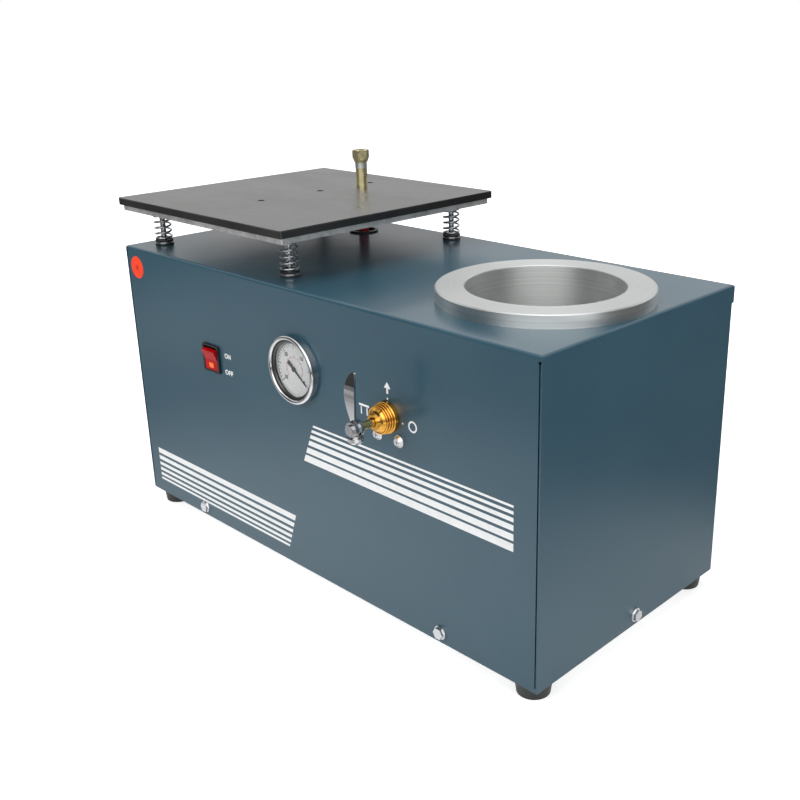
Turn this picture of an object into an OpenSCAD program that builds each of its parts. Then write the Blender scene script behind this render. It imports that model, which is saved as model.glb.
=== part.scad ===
// Bench-top vacuum casting machine for jewelry work: a folded steel cabinet that holds a rotary
// vacuum pump, with an open casting chamber on the right and a sprung investing table on the left.
// The front of the cabinet faces -Y, the floor is at z = 0.

/* [Cabinet] */
// Width of the cabinet
cab_w = 624; // [600:1:700]
// Depth of the cabinet
cab_d = 293; // [288:1:340]
// Height of the cabinet without its feet
cab_h = 310; // [306:1:360]
// Thickness of the cabinet sheet
sheet_t = 1.6; // [1.2:0.1:2]
// Outside radius of the folded edges
bend_r = 3; // [2.5:0.5:6]
// Width of the open seam at the front corners
seam_gap = 1.5; // [1:0.1:2.5]
// Height of the lip that the cover turns down at the rear
rear_lip_h = 18; // [14:1:30]
// Height of the base pan's flanges
pan_flange_h = 26; // [20:1:40]
// Height of the cover screws above the cabinet's bottom edge
cover_screw_z = 11; // [8:0.5:15]
// Distance of the front cover screws from the middle
cover_screw_x = 195; // [150:1:230]

/* [Feet] */
// Height of a rubber foot
foot_h = 16; // [12:1:30]
// Radius of a foot where it meets the cabinet
foot_top_r = 18; // [16.5:0.5:20]
// Radius of a foot at the floor
foot_bottom_r = 15.7; // [13:0.1:18]
// Distance of a foot's centre from the cabinet's edges
foot_inset = 21; // [21:1:40]

/* [Casting chamber] */
// Distance of the chamber's centre from the cabinet's right side
chamber_inset = 108; // [107:1:114]
// Distance of the chamber behind the front face
chamber_y = 137; // [125:1:150]
// Outside radius of the casting ring
ring_r = 102.5; // [100:0.5:105]
// Height of the casting ring above the cabinet
ring_h = 12.7; // [8:0.1:20]
// Radius of the chamber's bore
chamber_r = 75; // [70:0.5:77]
// Depth of the chamber below the top of the ring
chamber_depth = 238; // [200:1:245]
// Wall of the chamber pot
pot_wall = 3; // [2:0.5:4]
// Number of bolts in the casting ring
ring_bolts = 6; // [4:1:8]

/* [Investing table] */
// Side of the square rubber pad
pad_side = 304.8; // [290:0.2:306]
// Thickness of the rubber pad
pad_t = 8; // [5:0.5:12]
// Distance of the plate's edge inside the pad's edge
plate_inset = 3.5; // [0:0.5:8]
// Thickness of the aluminium plate
plate_t = 6.4; // [5:0.1:10]
// Distance of the table's centre from the cabinet's left side
table_inset = 149; // [149:1:157]
// Distance of the table's centre behind the front face
table_y = 152; // [150:1:156]
// Height of the plate's underside above the cabinet
table_gap = 40.8; // [36:0.2:60]
// Distance between two studs along a side
stud_span = 237; // [220:1:245]
// Diameter of a stud
stud_d = 6.2; // [5:0.1:8]
// Diameter of the small vent holes in the plate
vent_d = 8; // [4:0.5:12]

/* [Table springs] */
// Wire diameter of a spring
wire_d = 2.2; // [1.6:0.1:2.4]
// Outside diameter of a spring
spring_od = 20; // [16:0.5:21]
// Number of turns in a spring
spring_turns = 6.5; // [5:0.5:7]

/* [Stand pipe] */
// Diameter of the brass pipe
pipe_d = 13.7; // [10:0.1:16]
// Bore of the brass pipe
pipe_bore_d = 9.2; // [6:0.1:9.5]
// Height of the pipe's cap above the pad
pipe_h = 42.5; // [36:0.5:80]
// Width across the flats of the pipe's cap
cap_af = 17.6; // [17:0.1:20]
// Height of the pipe's cap
cap_h = 14.5; // [10:0.5:18]

/* [Vacuum gauge] */
// Distance of the gauge to the right of the cabinet's middle
gauge_x = -2; // [-10:1:10]
// Height of the gauge above the cabinet's bottom edge
gauge_z = 228; // [220:1:240]
// Outside radius of the gauge's bezel
bezel_r = 35.5; // [33.5:0.5:40]
// How far the bezel stands out of the front
bezel_h = 8; // [7:0.5:12]
// Radius of the gauge's case
gauge_case_r = 31.5; // [29:0.5:32]
// Depth of the gauge's case behind the front
gauge_case_d = 30; // [24:1:40]
// Length of the needle from its pivot
needle_l = 23; // [15:0.5:25]
// Angle of the needle below the horizontal when it rests
needle_rest = 38; // [30:1:50]

/* [Selector valve] */
// Distance of the valve from the cabinet's right side
valve_inset = 179; // [172:1:187]
// Height of the valve above the cabinet's bottom edge
valve_z = 213; // [205:1:220]
// Radius of the ridged bonnet
bonnet_r = 15.5; // [14:0.5:18]
// How far the bonnet stands out of the front
bonnet_h = 16.5; // [14:0.5:18]
// Distance of the lever from the front
lever_y = 40; // [38:1:60]
// Length of the lever above its pivot
lever_l = 53; // [40:1:70]
// Greatest width of the lever
lever_w = 13.5; // [10:0.5:20]
// Thickness of the lever's blade
lever_t = 2.4; // [1.6:0.2:4]
// Diameter of the valve's stem
stem_d = 8; // [6:0.5:9]

/* [Switch] */
// Distance of the switch from the cabinet's left side
switch_inset = 162; // [142:1:172]
// Height of the switch above the cabinet's bottom edge
switch_z = 207; // [195:1:215]
// Width of the switch's bezel
switch_w = 30; // [26:0.5:34]
// Height of the switch's bezel
switch_h = 31; // [28:0.5:36]
// Tilt of the rocker to each side
rocker_tilt = 11; // [8:0.5:13]

/* [Pump] */
// Distance of the pump's shaft behind the front face
pump_y = 165; // [155:1:175]
// Height of the pump's shaft above the cabinet's bottom edge
pump_z = 104; // [98:1:115]
// Outside radius of the motor's case
motor_r = 67; // [60:1:72]
// Diameter of the shaft
shaft_d = 16; // [12:0.5:18]
// Radius of the pump's rotor
rotor_r = 27; // [22:0.5:29]
// Outside diameter of the hoses
hose_d = 12.6; // [11.6:0.1:14]
// Bore of the hoses
hose_bore_d = 9.8; // [9.6:0.1:10.6]

/* [Hidden] */
$fn = 64;

// Clearances
seat = 0.2;          // between two pieces that rest on each other
fit = 0.06;          // radial clearance of a shaft in its bore
loose = 0.5;         // radial clearance of a screw in a hole

// Colours
paint = [0.29, 0.38, 0.43];
zinc = [0.75, 0.76, 0.78];
alu = [0.78, 0.79, 0.79];
brass = [0.80, 0.62, 0.22];
chrome = [0.88, 0.89, 0.91];
black = [0.09, 0.09, 0.10];
steel = [0.55, 0.56, 0.58];
red = [0.72, 0.08, 0.07];
castgrey = [0.45, 0.47, 0.50];

// How far the object reaches in front of and behind the front face of the cabinet
hub_l = 10;
lever_nut_l = 2.5;
lever_screw_r = 7.5;
front_reach = lever_y + max(hub_l / 2 + lever_nut_l, lever_screw_r);
rear_reach = table_y + pad_side / 2;
front_y = (front_reach - rear_reach) / 2;

// Cabinet
top_z = cab_h;
inner_top_z = cab_h - sheet_t;
panel_y = cab_d - 2 * sheet_t;         // front face of the back panel
pan_x = cab_w / 2 - sheet_t - seat;    // outside of the base pan
pan_y = sheet_t + seat;
screw_r = 2.1;
side_screw_y = cab_d / 2 + 2;
rear_screw_x = cab_w / 2 - 102;
rear_screw_z = cab_h - rear_lip_h / 2;

// Power inlet on the back panel
inlet_x = 67 - cab_w / 2;
inlet_z = 62;
inlet_w = 27;
inlet_h = 20;
inlet_flange_w = 50;
inlet_flange_t = 2.2;
inlet_screw_x = 20;

// Casting chamber
chamber_x = cab_w / 2 - chamber_inset;
nose_r = chamber_r + 1.8;              // outside of the ring's nose, which the gasket goes round
spigot_wall = 4.6;
spigot_r = chamber_r + spigot_wall;
spigot_l = 6;
gasket_t = 2;
pot_lip_t = 12;
pot_lip_r = ring_r - 5;
ring_bolt_r = (spigot_r + pot_lip_r) / 2;
bolt_r = 2.5;
pot_floor_z = top_z + ring_h - chamber_depth;
pot_floor_t = 6;
pot_port_z = pot_floor_z + 18;
pot_boss_r = 13;
pot_boss_l = 8;

// Investing table
table_x = cab_w / 2 - table_inset;     // to the left of the middle
plate_z = top_z + table_gap;
pad_z = plate_z + plate_t;
pad_top_z = pad_z + pad_t;
plate_side = pad_side - 2 * plate_inset;
pipe_x = 4;                            // stand pipe, from the middle of the table
pipe_y = 83;
vent_x = -5;
vent_ys = [-59, 26, 104];
stud_hole_r = stud_d / 2 + 1.6;
cushion_r = spring_od / 2 + 0.5;
cushion_low_t = 2;
cushion_ring_t = 1.6;
cushion_high_t = 2.4;
cushion_h = cushion_low_t + cushion_ring_t + cushion_high_t;
stop_washer_t = 2;
nut_h = 6;
nut_af = stud_d * 1.75;
stud_tail = 4;

// Stand pipe and its hose
hose_hole_r = 17.5;
grommet_r = 14;
tail_hex_h = 6;
tail_l = 15;
upper_hose_z = plate_z - tail_hex_h;   // top end of the hose under the plate
lower_hose_z = top_z - 16;             // where it goes on inside the cabinet
barb_r = hose_bore_d / 2 - 0.4;
tail_bore_r = 2.2;

// Gauge, from its front edge backwards
bezel_lip_t = 4;                       // from the bezel's front to the lens
bezel_ring_t = 4.5;                    // its wider front part
lens_t = 1.5;
lens_y = -bezel_h + bezel_lip_t + 0.1;
case_y = lens_y + lens_t + 0.1;
dial_y = case_y + 2.2;
dial_t = 0.9;
case_wall = 1.3;
dial_r = gauge_case_r - case_wall - 0.2;
opening_r = bezel_r - 7.5;             // of the bezel, at the lens
needle_y = dial_y - 0.8;               // rear face of the needle
arbor_r = 0.8;
movement_y = dial_y + 4;
gauge_boss_t = 3;
gauge_thread_r = 6;
gauge_thread_l = 7;

// Valve
valve_x = cab_w / 2 - valve_inset;
stem_r = stem_d / 2;
neck_r = 9.5;
valve_body_r = 17;
valve_body_l = 44;
port_y = 28;
plug_r = 10;
hex_l = 7;
barb_l = 16;
valve_screw_x = 14.2;
valve_screw_z = -20.6;

// Switch
switch_x = cab_w / 2 - switch_inset;   // to the left of the middle
switch_wall = 1.2;                     // between the bezel's edge and the body behind it
bezel_t = 2.6;
rocker_w = switch_w - 7;
rocker_h = switch_h - 5;
rocker_gap = 0.5;
rocker_pivot_y = 5;
switch_depth = 30;

// Pump train along X, from the fan behind the motor to the oil reservoir; its lengths go with the
// cabinet's width, so it ends before the chamber
fan_l = round(cab_w * 0.038);
motor_l = round(cab_w * 0.189);
lantern_l = round(cab_w * 0.07);
pump_l = round(cab_w * 0.093);
tank_l = round(cab_w * 0.135);
motor_x0 = fan_l + 20 - cab_w / 2;
motor_x1 = motor_x0 + motor_l;
bell_t = 10;
shaft_r = shaft_d / 2;
bearing_r = shaft_r + 9;
bearing_t = 9;
pump_x0 = motor_x1 + bell_t + lantern_l;
pump_x1 = pump_x0 + pump_l;
pump_side = 104;
cavity_r = rotor_r + 5;
cavity_drop = cavity_r - rotor_r - 0.5;
cover_t = 10;
tank_x0 = pump_x1 + cover_t;
tank_z0 = pump_z - pump_side / 2;
tank_h = 112;
mount_h = 14;
pump_plate_z = sheet_t + seat + mount_h + seat;
pump_plate_t = 4;
pump_plate_w = pump_side + 12;
saddle_w = pump_side - 16;
saddle_t = 12;
saddle_inset = 14;                     // of the two saddles, from the motor's ends
intake_x = pump_x0 + pump_l / 2;
intake_z = pump_z + pump_side / 2;
intake_boss_h = 5;
intake_hex_h = 16;
intake_af = 20;

// ---------------------------------------------------------------- helpers

module in_cabinet() translate([0, front_y, foot_h]) children();
module rod_x(x0, x1, r) translate([x0, 0, 0]) rotate([0, 90, 0]) cylinder(h = x1 - x0, r = r);
module rod_y(y0, y1, r) translate([0, y0, 0]) rotate([-90, 0, 0]) cylinder(h = y1 - y0, r = r);
module rod_z(z0, z1, r) translate([0, 0, z0]) cylinder(h = z1 - z0, r = r);
module ring_x(x0, x1, r, bore) difference() { rod_x(x0, x1, r); rod_x(x0 - 1, x1 + 1, bore); }
module ring_y(y0, y1, r, bore) difference() { rod_y(y0, y1, r); rod_y(y0 - 1, y1 + 1, bore); }
module ring_z(z0, z1, r, bore) difference() { rod_z(z0, z1, r); rod_z(z0 - 1, z1 + 1, bore); }
module block(x0, x1, y0, y1, z0, z1) translate([x0, y0, z0]) cube([x1 - x0, y1 - y0, z1 - z0]);
module hex_z(z0, z1, af) translate([0, 0, z0]) cylinder(h = z1 - z0, d = af / cos(30), $fn = 6);

// Rectangle from the origin with rounded corners
module rounded(w, h, r) {
    translate([r, 0]) square([w - 2 * r, h]);
    translate([0, r]) square([w, h - 2 * r]);
    for (x = [r, w - r], y = [r, h - r]) translate([x, y]) circle(r);
}

// Plate of a rounded outline, centred, standing on z = 0
module rounded_plate(w, d, t, r) translate([-w / 2, -d / 2, 0]) linear_extrude(t) rounded(w, d, r);

// Outline of a folded sheet: square at the bottom, rounded at its two top corners
module fold_outline(w, h, r) {
    square([w, h - r]);
    translate([r, 0]) square([w - 2 * r, h]);
    for (x = [r, w - r]) translate([x, h - r]) circle(r);
}

// Block with folded top edges, seen from the front and from the side
module folded_block(w, d, h, r) intersection() {
    translate([-w / 2, d, 0]) rotate([90, 0, 0]) linear_extrude(d) fold_outline(w, h, r);
    translate([-w / 2, 0, 0]) rotate([90, 0, 90]) linear_extrude(w) fold_outline(d, h, r);
}

// Four copies at the corners of a rectangle
module at_corners(dx, dy) for (x = [-dx, dx], y = [-dy, dy]) translate([x, y, 0]) children();

// Screw with a domed washer head: head on z = 0 upwards, shank downwards
module washer_screw(head_r, head_h, shank_r, shank_l) {
    cylinder(h = 1.2, r = head_r);
    translate([0, 0, 1.2]) cylinder(h = head_h - 1.2, d = head_r * 1.5 / cos(30), $fn = 6);
    translate([0, 0, -shank_l]) cylinder(h = shank_l + 0.01, r = shank_r);
}

// Hose tail: hexagon on z = 0, then a stem with three barbs
module hose_tail(af, hex_h, l) {
    difference() {
        union() {
            hex_z(0, hex_h, af);
            rod_z(hex_h - 0.01, hex_h + l, barb_r - 0.9);
            for (i = [1 : 3]) translate([0, 0, hex_h + l - i * 4])
                cylinder(h = 3.6, r1 = barb_r, r2 = barb_r - 0.8);
        }
        rod_z(-1, hex_h + l + 1, tail_bore_r);
    }
}

// ------------------------------------------------------- swept tubes and springs

function unit(v) = v / norm(v);

// Point at t = 0..1 between p1 and p2 of a smooth curve through p0, p1, p2, p3
function spline(p0, p1, p2, p3, t) =
    0.5 * (2 * p1 + (p2 - p0) * t + (2 * p0 - 5 * p1 + 4 * p2 - p3) * t * t
           + (3 * p1 - p0 - 3 * p2 + p3) * t * t * t);

// A route of few points, made smooth with n steps from each point to the next;
// it sets out along the direction first and arrives along the direction last
function smooth(p, n, first, last) =
    let (
        e = len(p) - 1,
        before = p[1] - 1.6 * norm(p[1] - p[0]) * first,
        after = p[e - 1] + 1.6 * norm(p[e] - p[e - 1]) * last,
        q = concat([before], p, [after])
    )
    concat([for (i = [1 : e], k = [0 : n - 1]) spline(q[i - 1], q[i], q[i + 1], q[i + 2], k / n)], [p[e]]);

// A direction square to v
function square_to(v) = unit(cross(v, abs(v[2]) < 0.9 ? [0, 0, 1] : [1, 0, 0]));

function tangent(p, i) = unit(p[min(i + 1, len(p) - 1)] - p[max(i - 1, 0)]);

// Normals that turn with the route and don't twist about it
function carry(n, t) = unit(n - (n * t) * t);
function normals(p, i, n) = i == len(p) ? []
    : let (m = carry(n, tangent(p, i))) concat([m], normals(p, i + 1, m));

function loop(c, n, b, r, sides) =
    [for (k = [0 : sides - 1]) c + r * (cos(360 * k / sides) * n + sin(360 * k / sides) * b)];

// Triangles between two loops of points that start at a and b
function band(a, b, sides) = [
    for (k = [0 : sides - 1]) let (l = (k + 1) % sides)
        each [[a + k, a + l, b + l], [a + k, b + l, b + k]]
];

// Hose with a bore along a route
module hose(route, d, bore, sides = 10) {
    n = normals(route, 0, square_to(tangent(route, 0)));
    last = len(route) - 1;
    outer = [for (i = [0 : last]) each loop(route[i], n[i], cross(tangent(route, i), n[i]), d / 2, sides)];
    inner = [for (i = [0 : last]) each loop(route[i], n[i], cross(tangent(route, i), n[i]), bore / 2, sides)];
    base = len(outer);
    polyhedron(points = concat(outer, inner), faces = concat(
        [for (i = [0 : last - 1]) each band((i + 1) * sides, i * sides, sides)],
        [for (i = [0 : last - 1]) each band(base + i * sides, base + (i + 1) * sides, sides)],
        band(0, base, sides),
        band(base + last * sides, last * sides, sides)));
}

// Spring: centre line as [point, tangent], the wire's ends turned square to their seats
spring_rings = 8;
spring_r = (spring_od - wire_d) / 2;
spring_z0 = top_z + cushion_h + seat;
spring_z1 = plate_z - seat;
spring_h = spring_z1 - spring_z0;
spring_steps = spring_turns * spring_rings;
turn_r = wire_d * 0.6;                 // where the wire turns from its end into the coil
coil_h = spring_h - 2 * (wire_d + turn_r);
end_turn_h = wire_d + 0.6;             // rise of the first and the last turn
function coil_z(t) = t < 1 ? t * end_turn_h
    : t > spring_turns - 1 ? coil_h - (spring_turns - t) * end_turn_h
    : end_turn_h + (t - 1) * (coil_h - 2 * end_turn_h) / (spring_turns - 2);
function radial(a) = [cos(a), sin(a), 0];
function along(a) = [-sin(a), cos(a), 0];
spring_line = concat(
    [[spring_r * radial(0), [0, 0, 1], 0],
     [spring_r * radial(0) + [0, 0, wire_d], unit([0, 0.4, 1]), 0]],
    [for (i = [1 : spring_steps - 1]) let (a = 360 * i / spring_rings)
        [spring_r * radial(a) + [0, 0, wire_d + turn_r + coil_z(i / spring_rings)], along(a), a]],
    [let (a = 360 * spring_turns) [spring_r * radial(a) + [0, 0, spring_h - wire_d],
        unit(along(a) * 0.4 + [0, 0, 1]), a],
     let (a = 360 * spring_turns) [spring_r * radial(a) + [0, 0, spring_h], [0, 0, 1], a]]);
spring_gap = min([for (i = [0 : len(spring_line) - 1], j = [i + 5 : 1 : len(spring_line) - 1])
    norm(spring_line[i][0] - spring_line[j][0]) - wire_d]);
echo(str("least gap of a spring to itself: ", spring_gap, " mm"));

module table_spring() {
    sides = 6;
    last = len(spring_line) - 1;
    points = [for (s = spring_line)
        each loop(s[0], radial(s[2]), cross(s[1], radial(s[2])), wire_d / 2, sides)];
    polyhedron(points = points, faces = concat(
        [for (i = [0 : last - 1]) each band((i + 1) * sides, i * sides, sides)],
        [for (k = [1 : sides - 2]) each [[0, k, k + 1], [last * sides, last * sides + k + 1, last * sides + k]]]));
}

// ---------------------------------------------------------------- cabinet

module at_chamber() translate([chamber_x, chamber_y, 0]) children();
module at_table() translate([-table_x, table_y, 0]) children();
module at_pipe() at_table() translate([pipe_x, pipe_y, 0]) children();
module at_studs() at_table() at_corners(stud_span / 2, stud_span / 2) children();
module at_gauge() translate([gauge_x, 0, gauge_z]) children();
module at_valve() translate([valve_x, 0, valve_z]) children();
module at_valve_screws() at_valve() for (x = [-valve_screw_x, valve_screw_x])
    translate([x, 0, valve_screw_z]) children();
module at_switch() translate([-switch_x, 0, switch_z]) children();
module at_ring_bolts() at_chamber() for (i = [0 : ring_bolts - 1])
    rotate([0, 0, 360 * (i + 0.5) / ring_bolts]) translate([ring_bolt_r, 0, 0]) children();
module at_feet() translate([0, cab_d / 2, 0])
    at_corners(cab_w / 2 - foot_inset, cab_d / 2 - foot_inset) children();

// Places of the cover screws, each with +Z pointing out of the cabinet
module at_cover_screws() {
    for (x = [-cover_screw_x, cover_screw_x]) translate([x, 0, cover_screw_z]) rotate([90, 0, 0]) children();
    for (s = [-1, 1]) translate([s * cab_w / 2, side_screw_y, cover_screw_z])
        rotate([0, s * 90, 0]) children();
}

module at_rear_screws() for (x = [-rear_screw_x, 0, rear_screw_x])
    translate([x, cab_d, rear_screw_z]) rotate([-90, 0, 0]) children();
module at_lower_rear_screws() for (x = [-rear_screw_x, 0, rear_screw_x])
    translate([x, panel_y + sheet_t, pan_flange_h / 2]) rotate([-90, 0, 0]) children();
module at_inlet_screws() for (x = [-inlet_screw_x, inlet_screw_x])
    translate([inlet_x + x, panel_y + sheet_t + inlet_flange_t, inlet_z]) rotate([-90, 0, 0]) children();

module corner_seam() {
    x0 = cab_w / 2 - sheet_t - seam_gap;
    z1 = cab_h - bend_r - 3;
    block(x0, x0 + seam_gap, -1, sheet_t + 0.01, 5, z1);
    translate([x0 + seam_gap / 2, 0, z1]) rod_y(-1, sheet_t + 0.01, seam_gap);
}

module cabinet_cover() in_cabinet() color(paint) difference() {
    folded_block(cab_w, cab_d, cab_h, bend_r);
    // the inside, open at the bottom
    translate([0, sheet_t, -1])
        folded_block(cab_w - 2 * sheet_t, cab_d - 2 * sheet_t, inner_top_z + 1, bend_r - sheet_t);
    // the rear, open below the lip
    block(-cab_w, cab_w, panel_y, cab_d + 1, -1, cab_h - rear_lip_h);
    corner_seam();
    mirror([1, 0, 0]) corner_seam();
    at_chamber() rod_z(inner_top_z - 1, top_z + 1, spigot_r + loose);
    at_ring_bolts() rod_z(inner_top_z - 1, top_z + 1, bolt_r + loose);
    at_studs() rod_z(inner_top_z - 1, top_z + 1, stud_hole_r);
    at_pipe() rod_z(inner_top_z - 1, top_z + 1, hose_hole_r - 2.5);
    at_gauge() rod_y(-1, sheet_t + 1, gauge_case_r + 0.4);
    at_valve() rod_y(-1, sheet_t + 1, neck_r + loose);
    at_valve_screws() rod_y(-1, sheet_t + 1, screw_r + 0.3);
    at_switch() block(-switch_w / 2 + switch_wall - 0.2, switch_w / 2 - switch_wall + 0.2, -1, sheet_t + 1,
        -switch_h / 2 + switch_wall - 0.2, switch_h / 2 - switch_wall + 0.2);
    at_cover_screws() rod_z(-3 * sheet_t, 1, screw_r + 0.3);
    at_rear_screws() rod_z(-sheet_t - 0.5, 1, screw_r + 0.3);
}

module base_pan() in_cabinet() color(zinc) difference() {
    block(-pan_x, pan_x, pan_y, panel_y, 0, pan_flange_h);
    block(-pan_x + sheet_t, pan_x - sheet_t, pan_y + sheet_t, panel_y - sheet_t, sheet_t, pan_flange_h + 1);
    at_feet() rod_z(-1, sheet_t + 1, screw_r + loose);
    at_cover_screws() rod_z(-4 * sheet_t, 1, screw_r + 0.15);
    // cooling slots below the motor and the pump
    for (i = [0 : 11]) translate([motor_x0 + 20 + i * 14, pump_y, -1]) rounded_plate(6, 80, sheet_t + 2, 2.8);
    at_pump_mounts() rod_z(-1, sheet_t + 1, screw_r + 0.15);
    at_lower_rear_screws() rod_z(-4 * sheet_t, 1, screw_r + 0.15);
}

// Pressed louvre: a hood over a slot, open at its lower side
louvre_l = 62;
louvre_r = 5;
louvre_t = 1.2;
module louvre_slot() block(-louvre_l / 2 + louvre_t, louvre_l / 2 - louvre_t, panel_y - 1, cab_d,
    -0.8, louvre_r - louvre_t);
module louvre_hood() translate([0, cab_d - sheet_t, 0]) difference() {
    rod_x(-louvre_l / 2, louvre_l / 2, louvre_r);
    rod_x(-louvre_l / 2 + louvre_t, louvre_l / 2 - louvre_t, louvre_r - louvre_t);
    block(-louvre_l, louvre_l, -2 * louvre_r, -0.01, -louvre_r - 1, louvre_r + 1);
    block(-louvre_l, louvre_l, -1, louvre_r + 1, -louvre_r - 1, -0.8);
}
module at_louvres() for (x = [-205, -130, 60, 135], k = [0 : 6]) translate([x, 0, 120 + k * 19]) children();

module back_panel() in_cabinet() color(paint) {
    half_w = cab_w / 2 - sheet_t - 0.4;
    flange = 14;
    difference() {
        union() {
            block(-half_w, half_w, panel_y, cab_d - sheet_t, 0, inner_top_z - bend_r);
            for (s = [-1, 1]) translate([s * (half_w - sheet_t / 2), 0, 0])
                block(-sheet_t / 2, sheet_t / 2, panel_y - flange, panel_y + 0.1,
                    pan_flange_h + 1, inner_top_z - bend_r);
        }
        at_louvres() louvre_slot();
        translate([inlet_x, 0, inlet_z])
            block(-inlet_w / 2, inlet_w / 2, panel_y - 1, cab_d, -inlet_h / 2, inlet_h / 2);
        at_inlet_screws() rod_z(-4 * sheet_t, 1, screw_r);
        at_rear_screws() rod_z(-4 * sheet_t, 1, screw_r + 0.15);
        at_lower_rear_screws() rod_z(-4 * sheet_t, 1, screw_r + 0.15);
    }
    at_louvres() louvre_hood();
}

module cover_screws() in_cabinet() color(chrome) at_cover_screws() translate([0, 0, 0.05])
    washer_screw(7, 4.4, screw_r, 12);

module rear_screws() in_cabinet() color(chrome) {
    at_rear_screws() translate([0, 0, 0.05]) washer_screw(5.2, 3.4, screw_r - 0.1, 9);
    at_lower_rear_screws() translate([0, 0, 0.05]) washer_screw(5.2, 3.4, screw_r - 0.1, 9);
    at_inlet_screws() translate([0, 0, 0.05]) washer_screw(3.2, 2.4, screw_r - 0.3, 8);
}

module rubber_feet() in_cabinet() color(black) at_feet() difference() {
    translate([0, 0, -foot_h]) cylinder(h = foot_h, r1 = foot_bottom_r, r2 = foot_top_r);
    rod_z(-foot_h - 1, -foot_h + 8, 6);
    rod_z(-foot_h, 1, screw_r + 0.15);
}

module foot_screws() in_cabinet() color(steel) at_feet() {
    rod_z(-foot_h + 4.6, -foot_h + 8 - 0.05, 5);
    rod_z(-foot_h + 7.9, sheet_t + 7, screw_r);
    difference() {
        hex_z(sheet_t + 0.05, sheet_t + 4, 8);
        rod_z(sheet_t - 1, sheet_t + 5, screw_r - 0.01);
    }
}

module power_inlet() in_cabinet() color(black) translate([inlet_x, panel_y + sheet_t, inlet_z]) {
    difference() {
        union() {
            translate([0, inlet_flange_t, 0]) rotate([90, 0, 0]) linear_extrude(inlet_flange_t - 0.05)
                difference() {
                    translate([-inlet_flange_w / 2, -inlet_h / 2 - 2])
                        rounded(inlet_flange_w, inlet_h + 4, 8);
                    for (x = [-inlet_screw_x, inlet_screw_x]) translate([x, 0]) circle(screw_r);
                }
            block(-inlet_w / 2 + 0.3, inlet_w / 2 - 0.3, -22, 1, -inlet_h / 2 + 0.3, inlet_h / 2 - 0.3);
        }
        // socket with a chamfered key side
        translate([0, 3, 0]) rotate([90, 0, 0]) linear_extrude(17) polygon([[-11.5, -7.5], [11.5, -7.5],
            [11.5, 4], [8, 7.5], [-8, 7.5], [-11.5, 4]]);
    }
    // three contact blades, and their tabs inside
    for (p = [[-7, -2], [0, 2.5], [7, -2]]) block(p[0] - 1, p[0] + 1, -14.1, -2, p[1] - 2, p[1] + 2);
    for (x = [-7, 0, 7]) block(x - 2.4, x + 2.4, -32, -21.9, -0.4, 0.4);
}

// ---------------------------------------------------------------- casting chamber

nose_z = top_z - spigot_l - gasket_t + 0.05;
module chamber_ring() in_cabinet() at_chamber() color(alu) difference() {
    rotate_extrude($fn = 96) polygon([
        [chamber_r, nose_z], [nose_r, nose_z], [nose_r, top_z - spigot_l], [spigot_r, top_z - spigot_l],
        [spigot_r, top_z],
        [ring_r, top_z], [ring_r, top_z + ring_h - 1], [ring_r - 1, top_z + ring_h],
        [chamber_r + 0.8, top_z + ring_h], [chamber_r, top_z + ring_h - 0.8]]);
    for (i = [0 : ring_bolts - 1]) rotate([0, 0, 360 * (i + 0.5) / ring_bolts])
        translate([ring_bolt_r, 0, 0]) rod_z(top_z - 1, top_z + ring_h * 0.7, bolt_r - 0.05);
}

module chamber_gasket() in_cabinet() at_chamber() color([0.75, 0.25, 0.12])
    ring_z(nose_z, top_z - spigot_l - 0.05, spigot_r - 0.1, nose_r + 0.1);

module chamber_pot() in_cabinet() at_chamber() color(alu) difference() {
    union() {
        rod_z(pot_floor_z - pot_floor_t, inner_top_z - 0.05, chamber_r + pot_wall);
        rod_z(top_z - pot_lip_t, inner_top_z - 0.05, pot_lip_r);
        translate([0, 0, pot_port_z]) rod_x(-chamber_r - pot_wall - pot_boss_l, -chamber_r - 1, pot_boss_r);
    }
    rod_z(pot_floor_z, top_z, chamber_r);
    rod_z(top_z - spigot_l - gasket_t, top_z, spigot_r + 0.15);
    translate([0, 0, pot_port_z]) rod_x(-chamber_r - pot_wall - pot_boss_l - 1, -chamber_r + 4, 4);
    for (i = [0 : ring_bolts - 1]) rotate([0, 0, 360 * (i + 0.5) / ring_bolts])
        translate([ring_bolt_r, 0, 0]) rod_z(top_z - pot_lip_t - 1, top_z, bolt_r + 0.2);
}

module chamber_bolts() in_cabinet() color(steel) at_ring_bolts() {
    hex_z(top_z - pot_lip_t - 4.1, top_z - pot_lip_t - 0.05, 8);
    rod_z(top_z - pot_lip_t - 0.1, top_z + ring_h * 0.6, bolt_r - 0.1);
}

pot_port_x = chamber_x - chamber_r - pot_wall - pot_boss_l;
module chamber_fitting() in_cabinet() color(brass)
    translate([pot_port_x, chamber_y, pot_port_z]) rotate([0, -90, 0])
    translate([0, 0, 0.05]) hose_tail(16, hex_l, barb_l);

// ---------------------------------------------------------------- motor and pump

module at_shaft() translate([0, pump_y, pump_z]) children();
mount_x0 = motor_x0 + 18;
mount_x1 = tank_x0 + tank_l - 18;
mount_dy = 50;
case_r = motor_r - 3;                  // motor case between its fins
module at_pump_mounts() for (x = [mount_x0, (mount_x0 + mount_x1) / 2, mount_x1], y = [-mount_dy, mount_dy])
    translate([x, pump_y + y, 0]) children();

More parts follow.
